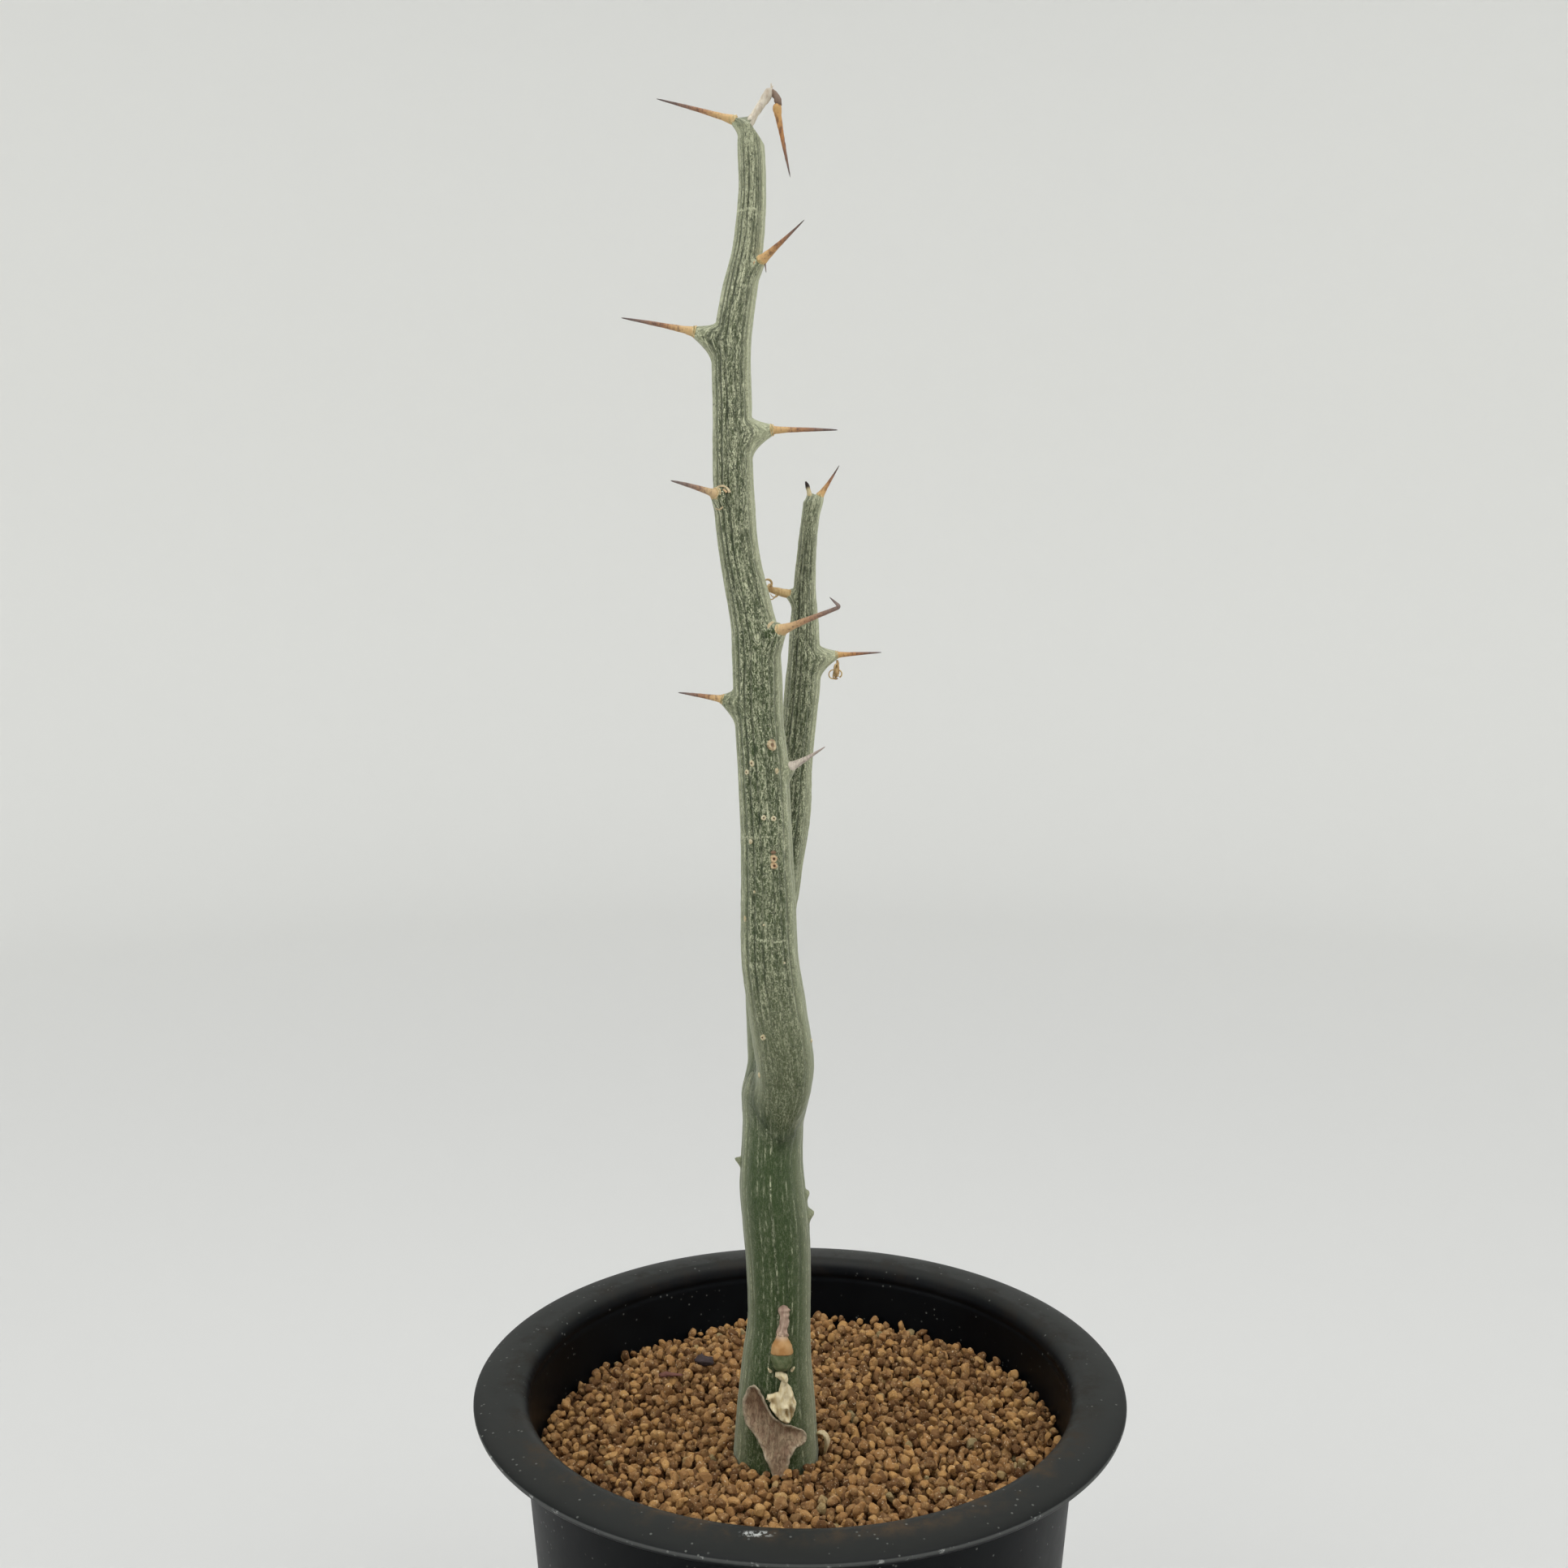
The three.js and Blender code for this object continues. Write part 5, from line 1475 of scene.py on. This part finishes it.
# Outlines of the scales: X across the trunk's front and height above the soil, in millimetres.
HUSK_OUTLINE = ((-3.3, 15.7), (-4.3, 14.6), (-4.9, 12.6), (-5, 10.4), (-4.5, 8), (-2.9, 5.6), (-2, 3.6),
                (-1.1, 1.9), (-0.6, -0.6), (1.8, -0.6), (2, 2.7), (2.9, 4.6), (4, 5.3), (4.3, 6.2),
                (4.2, 7.1), (3.6, 7.9), (2.2, 8.6), (0.9, 9.3), (-0.4, 10.4), (-1.2, 11.8),
                (-1.9, 13.3), (-2.5, 14.9))
FLAKE_OUTLINE = ((-0.1, 18.3), (0.7, 18.6), (1.5, 18.1), (1.8, 17), (1.6, 16.2), (2.4, 15.2), (2.7, 13.9),
                 (3.1, 12.6), (2.9, 11), (2.4, 9.3), (1.7, 8.9), (0.9, 9.5), (0.2, 10.3), (-0.5, 11.2),
                 (-1, 12.2), (-0.8, 12.9), (-1.6, 13.3), (-1.3, 14.2), (-0.5, 14.3), (0.4, 14.6), (0.6, 15.8),
                 (0.9, 16.7), (0.4, 17.2), (-0.1, 17.6))


def make_scales(scales):
    """The brown husk, the cream flake and the pale curled strip at the trunk's foot."""
    thickness, curl = scales.thickness / MM, scales.curl / MM
    flat, faces, edge = scale_sheet(HUSK_OUTLINE, 0.24, 301, 0.14)
    x, z = flat[:, 0], flat[:, 1]
    lift = 0.5 + 0.22 * sheet_noise(x, z, 1.7, 2.6, 302)
    lift += 0.1 * sheet_noise(x, z, 0.45, 1.3, 303)
    lift += curl * np.exp(-((edge / 0.75) ** 2)) * (0.9 + 0.7 * sheet_noise(x, z, 2.1, 2.1, 304))
    lift += 1.3 * ramp(x, 2.6, 4.4) * ramp(z, 4, 6) + 0.5 * ramp(z, 13.5, 15.6)
    heap = Heap()
    heap.add_sheet(x, z, lift, faces, thickness, edge=ramp(edge, 0.5, 0.05), shade=ramp(z, 8, 13) * 0.85)
    finish_piece(heap.make("brown_husk_fine", husk_finish(scales)), "husk", "brown_husk")

    cream = flake_finish(scales)
    flat, faces, edge = scale_sheet(FLAKE_OUTLINE, 0.17, 311, 0.1)
    x, z = flat[:, 0], flat[:, 1]
    fold = 1 - np.abs(sheet_noise(x + z * 0.62 / 4.5, z, 0.62, 2.2, 312)) * 2.2
    lift = 1.15 + 0.55 * np.clip(fold, -0.6, 1) + 0.3 * sheet_noise(x, z, 1.4, 1.4, 313)
    lift = lift * ramp(edge, -0.35, 0.5) + 0.5 + 0.5 * ramp(z, 15.8, 17.6)
    heap = Heap()
    heap.add_sheet(x, z, lift, faces, 0.35, fold=ramp(-fold, 0.1, 0.9) * ramp(z, 15, 13.5))
    for side in (-1, 1):
        base, way = trunk_front(np.array(0.9 + side * 1.9), np.array(18.3), 0.9)
        claw = base + np.array([side * 0.25, -0.1, 0.2]) * np.linspace(-1, 1.6, 8)[:, None]
        claw = claw + np.array([0, -0.25, 0.7]) * (np.linspace(-1, 1.2, 8)[:, None] ** 2) * 0.35
        body = np.interp(np.linspace(0, 1, 8), (0, 0.4, 1), (0.3, 0.5, 0.2))
        heap.add_tube(claw, body, 10, 0.6, 0.3, 320 + side, fold=0.1)
    finish_piece(heap.make("cream_flake_fine", cream), "pale_scale", "cream_flake")

    low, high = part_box("pale_curl")
    base = (np.array([(low.x + high.x) / 2, (low.y + high.y) / 2, low.z]) - trunk_foot) / MM
    arch = base + np.array([(-1.9, -0.2, 3.3), (-1.3, -0.3, 3.65), (-0.6, -0.4, 3.6), (-0.1, -0.5, 3.1),
                            (0.15, -0.5, 2.3), (0.1, -0.5, 1.4), (-0.1, -0.4, 0.6), (-0.3, -0.3, -0.6)])
    heap = Heap()
    heap.add_tube(arch, (0.3, 0.5, 0.65, 0.75, 0.75, 0.65, 0.5, 0.35), 16, 0.7, 0.35, 331,
                  fold=lambda along: 0.35 + 0.4 * ramp(along, 0.45, 0.8))
    finish_piece(heap.make("pale_curl_fine", cream), "pale_scale", "pale_curl")


def make_bud():
    """The bud on the trunk's front and its dried neck."""
    stem = STEMS["trunk"]
    height = 18.6  # of the bud's foot above the soil
    foot = stem.centre(height) + np.array([0.9, -float(stem.radius(height)) - 0.95, 0])
    lean = aim(90, 82)
    t = np.linspace(0, 1, 40)
    path = foot + lean * (t * 6.5 - 0.1)[:, None]
    body = np.interp(t, (0, 0.03, 0.12, 0.3, 0.5, 0.68, 0.82, 0.93, 1),
                     (0.5, 1.1, 1.65, 1.93, 2.0, 1.75, 1.25, 0.95, 0.9))
    heap = Heap()
    heap.add_tube(path, body, 40, 0.95, 0.06, 401, along=np.copy)
    finish_piece(heap.make("basal_bud_fine", bud_finish()), "trunk_skin", "basal_bud")

    t = np.linspace(0, 1, 30)
    path = foot + lean * (6.1 + t * 5.3)[:, None] + np.array([0.35, 0, 0]) * np.sin(t * 2.6)[:, None]
    body = np.interp(t, (0, 0.15, 0.45, 0.7, 0.85, 0.94, 1), (1.05, 1.0, 0.9, 1.05, 1.25, 0.9, 0.25))
    heap = Heap()
    heap.add_tube(path, body, 22, 0.8, 0.4, 411, shade=lambda along: 0.15 + 0.5 * ramp(along, 0.8, 1))
    dry = dry_finish("dried_neck", linear(196, 172, 152), linear(160, 132, 116), linear(104, 80, 66), 0.6)
    finish_piece(heap.make("basal_bud_neck", dry), "dried_skin", "basal_bud_tip")


# Scars on the tall shoot and the trunk: stem, height above the soil, azimuth, half width, half height, kind.
SCARS = (
    ("tall", 129.4, -64, 0.85, 1.12, "crust"), ("tall", 126.6, -114, 0.42, 0.62, "dot"),
    ("tall", 125.1, -129, 0.42, 0.5, "dot"), ("tall", 125.0, -57, 0.35, 0.6, "speck"),
    ("tall", 117.3, -93, 0.5, 0.5, "dot"), ("tall", 117.1, -71, 0.52, 0.52, "dot"),
    ("tall", 110.2, -75, 0.68, 0.7, "ring"), ("tall", 109.0, -75, 0.66, 0.62, "ring"),
    ("tall", 111.3, -75, 0.5, 0.32, "blotch"), ("tall", 113.2, -126, 0.35, 0.5, "speck"),
    ("tall", 99.6, -146, 0.28, 0.6, "speck"), ("tall", 98.9, -99, 0.22, 0.22, "speck"),
    ("tall", 79.7, -126, 0.55, 0.55, "dot"), ("tall", 104.5, -120, 0.2, 0.25, "speck"),
    ("tall", 92.0, -60, 0.2, 0.2, "speck"), ("trunk", 61.3, -64, 0.85, 0.5, "flake"),
    ("tall", 72.1, -154, 0.4, 0.55, "flake"), ("tall", 77.0, -12, 0.3, 0.4, "speck"),
)
# How far the brown hollow of each kind of scar reaches, and how warm its cork is.
HOLLOWS = {"dot": 0.42, "ring": 0.5, "crust": 0.55}
CORK_WARMTH = {"ring": 0.55, "crust": 0.25, "flake": 0.15}

# Corky rims beside thorns: stem, height above the soil, azimuth, radius, thickness, first angle, sweep
# and warmth.
CALLUSES = (
    ("tall", 171.5, -122, 1.45, 0.2, 10, 150, 0.3), ("tall", 171.3, -120, 1.0, 0.17, 30, 120, 0.7),
    ("tall", 170.6, -131, 0.6, 0.36, 150, 280, 1.0), ("tall", 170.1, -132, 0.95, 0.16, 180, 150, 0.4),
    ("tall", 148.4, -41, 1.2, 0.3, 60, 290, 0.25), ("tall", 148.3, -42, 0.6, 0.25, 80, 260, 0.8),
    ("tall", 209.4, -42, 0.75, 0.2, 30, 330, 0.8), ("tall", 209.4, -42, 0.3, 0.22, 0, 330, 0.2),
)


def skin_spot(key, level, azimuth):
    """A spot on a stem: its axis's middle and radius there, and the ways ahead, out and round."""
    stem = STEMS[key]
    height = level - stem.start
    ahead, side, back = stem.frame(np.array(height))
    turn = math.radians(azimuth)
    out = side * math.cos(turn) + back * math.sin(turn)
    across = back * math.cos(turn) - side * math.sin(turn)
    return stem.centre(height), float(stem.radius(height)), ahead, out, across


def cork_finish():
    """Cork: cream to tan, brown where a mark's depth says so."""
    paint = Paint("cork_scars")
    depth = paint.attribute("depth")
    warm = paint.attribute("warm")
    grain = paint.noise(paint.place(), 1900, 3, 0.6)
    cool = paint.mix(paint.step(grain, 0.35, 0.7), linear(218, 210, 180), linear(184, 168, 130))
    tan = paint.mix(paint.step(grain, 0.35, 0.7), linear(212, 172, 126), linear(160, 116, 76))
    colour = paint.mix(warm, cool, tan)
    colour = paint.mix(depth, colour, linear(104, 72, 54))
    return paint.finish(colour, 0.8, grain, 0.0001, 0.6, Specular_IOR_Level=0.2)


def make_scars():
    """Small corky scars left by fallen leaves, standing a little off the skin, and corky rims by thorns."""
    heap = Heap()
    rings, sides = 9, 28
    for number, (key, level, azimuth, wide, tall, kind) in enumerate(SCARS):
        centre, skin_radius, ahead, out, across = skin_spot(key, level, azimuth)
        middle = centre + out * (skin_radius - 0.05)
        theta = np.linspace(0, TAU, sides, endpoint=False)
        t = np.linspace(0, 1, rings)[:, None]
        edge = 1 + 0.22 * wave(theta * 1.6 + 9 * number, 500 + number)[None]
        hollow = HOLLOWS.get(kind, 0.0)
        dome = 0.32 * np.sqrt(np.clip(1 - ((t - hollow) / (1 - hollow)) ** 2, 0, 1))
        bump = np.where(t < hollow, 0.02 + 0.3 * t / max(hollow, 0.01), dome)
        bump = bump * (0.9 + 0.35 * wave(theta * 2.2, 520 + number)[None])
        bump = bump * (1.3 if kind in ("ring", "crust") else 1)
        skirt = -0.25 * (t > 0.999)
        u, v = wide * t * edge * np.cos(theta), tall * t * edge * np.sin(theta)
        sag = -(u**2) / (2 * skin_radius)
        grid = middle + u[..., None] * across + v[..., None] * ahead + (bump + skirt + sag)[..., None] * out
        dark = np.zeros((rings, sides))
        if hollow:
            dark = dark + ramp(t, hollow * 0.95, hollow * 0.45)
        if kind == "crust":
            dark = np.maximum(0.75 * dark, 0.6 * ramp(sheet_noise(u, v, 1 / 2.4, 1 / 2.4, 540), 0.1, 0.5))
        if kind == "blotch":
            dark = np.full((rings, sides), 0.85)
        under = rings * sides
        faces = [face for face in ring_faces(rings, sides) if under + 1 not in face]
        points = np.concatenate([grid[::-1].reshape(-1, 3), (middle - out * 0.3)[None]])
        heap.add(points, faces, depth=np.append(dark[::-1], 0.0), warm=CORK_WARMTH.get(kind, 0.0))
    for number, (key, level, azimuth, size, thick, first, sweep, warm) in enumerate(CALLUSES):
        centre, skin_radius, ahead, out, across = skin_spot(key, level, azimuth)
        angles = np.radians(np.linspace(first, first + sweep, 24))
        u, v = size * np.cos(angles), size * np.sin(angles)
        lift = skin_radius + 0.18 + 0.12 * wave(angles * 2, 600 + number) - u**2 / (2 * skin_radius)
        path = centre + u[:, None] * across + v[:, None] * ahead + lift[:, None] * out
        body = thick * (1 + 0.35 * wave(angles * 3, 620 + number))
        heap.add_tube(path, body, 9, 1, 0.35, 640 + number, out, depth=0.0, warm=warm)
    finish_piece(heap.make("cork_scars", cork_finish()), "pale_scale")


# ---- operators ----

class PLANT_OT_stage(bpy.types.Operator):
    """Makes the backdrop, the lights and the camera"""

    bl_idname = "plant.stage"
    bl_label = "Stage"

    def execute(self, context):
        stage = context.scene.plant_stage
        scene = context.scene
        make_backdrop(stage)
        world = bpy.data.worlds.new("soft_sky")
        world.use_nodes = True
        sky = world.node_tree.nodes["Background"]
        sky.inputs["Color"].default_value = (*linear(226, 230, 234), 1)
        sky.inputs["Strength"].default_value = stage.sky
        scene.world = world
        add_light("top_light", (0, -0.15, 1.5), (0, 0, 0.1), 1.3, stage.key_power)
        add_light("left_light", (-0.85, -0.55, 0.75), (0, 0, 0.18), 0.7, stage.side_power)
        add_light("right_light", (0.85, -0.45, 0.8), (0, 0, 0.18), 0.7, stage.side_power)
        data = bpy.data.cameras.new("view")
        data.lens, data.sensor_width = CAMERA_LENS, 36
        data.clip_start, data.clip_end = 0.01, 20
        camera = bpy.data.objects.new("view", data)
        camera.location = CAMERA_PLACE
        camera.rotation_euler = (math.radians(90 - CAMERA_DIP), 0, 0)
        scene.collection.objects.link(camera)
        scene.camera = camera
        scene.view_settings.view_transform = "Standard"
        return {"FINISHED"}


class PLANT_OT_pot(bpy.types.Operator):
    """Makes the round plastic pot"""

    bl_idname = "plant.pot"
    bl_label = "Pot"

    def execute(self, context):
        make_pot(context.scene.plant_pot)
        return {"FINISHED"}


class PLANT_OT_soil(bpy.types.Operator):
    """Makes the bed of clay grains"""

    bl_idname = "plant.soil"
    bl_label = "Clay grains"

    def execute(self, context):
        make_soil(context.scene.plant_soil)
        make_chip()
        return {"FINISHED"}


class PLANT_OT_trunk(bpy.types.Operator):
    """Makes the trunk and its roots"""

    bl_idname = "plant.trunk"
    bl_label = "Trunk"

    def execute(self, context):
        make_trunk(context.scene.plant_stem)
        return {"FINISHED"}


class PLANT_OT_shoots(bpy.types.Operator):
    """Makes the tall shoot and the short shoot"""

    bl_idname = "plant.shoots"
    bl_label = "Shoots"

    def execute(self, context):
        stem = context.scene.plant_stem
        paint = skin_finish("shoot_skin", stem)
        tall = ((0, 0.6, 0.05), (0.12, 0.85, 0.18), (0.2, 0.5, 0.08), (0.35, 0.4, 0.05), (0.5, 0.45, 0.05),
                (0.62, 0.6, 0.12), (0.8, 0.65, 0.15), (0.86, 0.85, 0.4), (1, 1, 0.5))
        make_shoot("tall", 0.0, 150, 11, stem, tall, (-0.2, 1.35), paint)
        short = ((0, 0.5, 0.05), (0.3, 0.45, 0.05), (0.6, 0.5, 0.08), (0.85, 0.7, 0.15), (1, 0.85, 0.2))
        make_shoot("short", -3.0, 126, 29, stem, short, (9, 1), paint)
        return {"FINISHED"}


class PLANT_OT_thorns(bpy.types.Operator):
    """Makes the thorns"""

    bl_idname = "plant.thorns"
    bl_label = "Thorns"

    def execute(self, context):
        make_thorns(context.scene.plant_thorn)
        return {"FINISHED"}


class PLANT_OT_stalks(bpy.types.Operator):
    """Makes the dried stalks, stubs and curls"""

    bl_idname = "plant.stalks"
    bl_label = "Dried stalks"

    def execute(self, context):
        make_stalks()
        return {"FINISHED"}


class PLANT_OT_scales(bpy.types.Operator):
    """Makes the papery scales and the bud at the trunk's foot, and the corky scars"""

    bl_idname = "plant.scales"
    bl_label = "Scales, bud and scars"

    def execute(self, context):
        make_scales(context.scene.plant_scale)
        make_bud()
        make_scars()
        return {"FINISHED"}


class PLANT_PT_panel(bpy.types.Panel):
    """Lists the pieces of the plant"""

    bl_label = "Potted plant"
    bl_idname = "PLANT_PT_panel"
    bl_space_type = "VIEW_3D"
    bl_region_type = "UI"
    bl_category = "Plant"

    def draw(self, context):
        for operator in OPERATORS:
            self.layout.operator(operator.bl_idname)
        for name in SETTINGS:
            group = getattr(context.scene, name)
            box = self.layout.box()
            for key in group.__annotations__:
                box.prop(group, key)


SETTINGS = {
    "plant_pot": PotSettings,
    "plant_soil": SoilSettings,
    "plant_stem": StemSettings,
    "plant_thorn": ThornSettings,
    "plant_scale": ScaleSettings,
    "plant_stage": StageSettings,
}
OPERATORS = (PLANT_OT_stage, PLANT_OT_pot, PLANT_OT_soil, PLANT_OT_trunk, PLANT_OT_shoots, PLANT_OT_thorns,
             PLANT_OT_stalks, PLANT_OT_scales)


def register():
    for made in (*SETTINGS.values(), *OPERATORS, PLANT_PT_panel):
        bpy.utils.register_class(made)
    for name, group in SETTINGS.items():
        setattr(bpy.types.Scene, name, PointerProperty(type=group))


def unregister():
    for name in SETTINGS:
        delattr(bpy.types.Scene, name)
    for made in reversed((*SETTINGS.values(), *OPERATORS, PLANT_PT_panel)):
        bpy.utils.unregister_class(made)


def main():
    register()
    bpy.ops.plant.stage()
    bpy.ops.plant.pot()
    bpy.ops.plant.soil()
    bpy.ops.plant.trunk()
    bpy.ops.plant.shoots()
    bpy.ops.plant.thorns()
    bpy.ops.plant.stalks()
    bpy.ops.plant.scales()


if __name__ == "__main__":
    main()
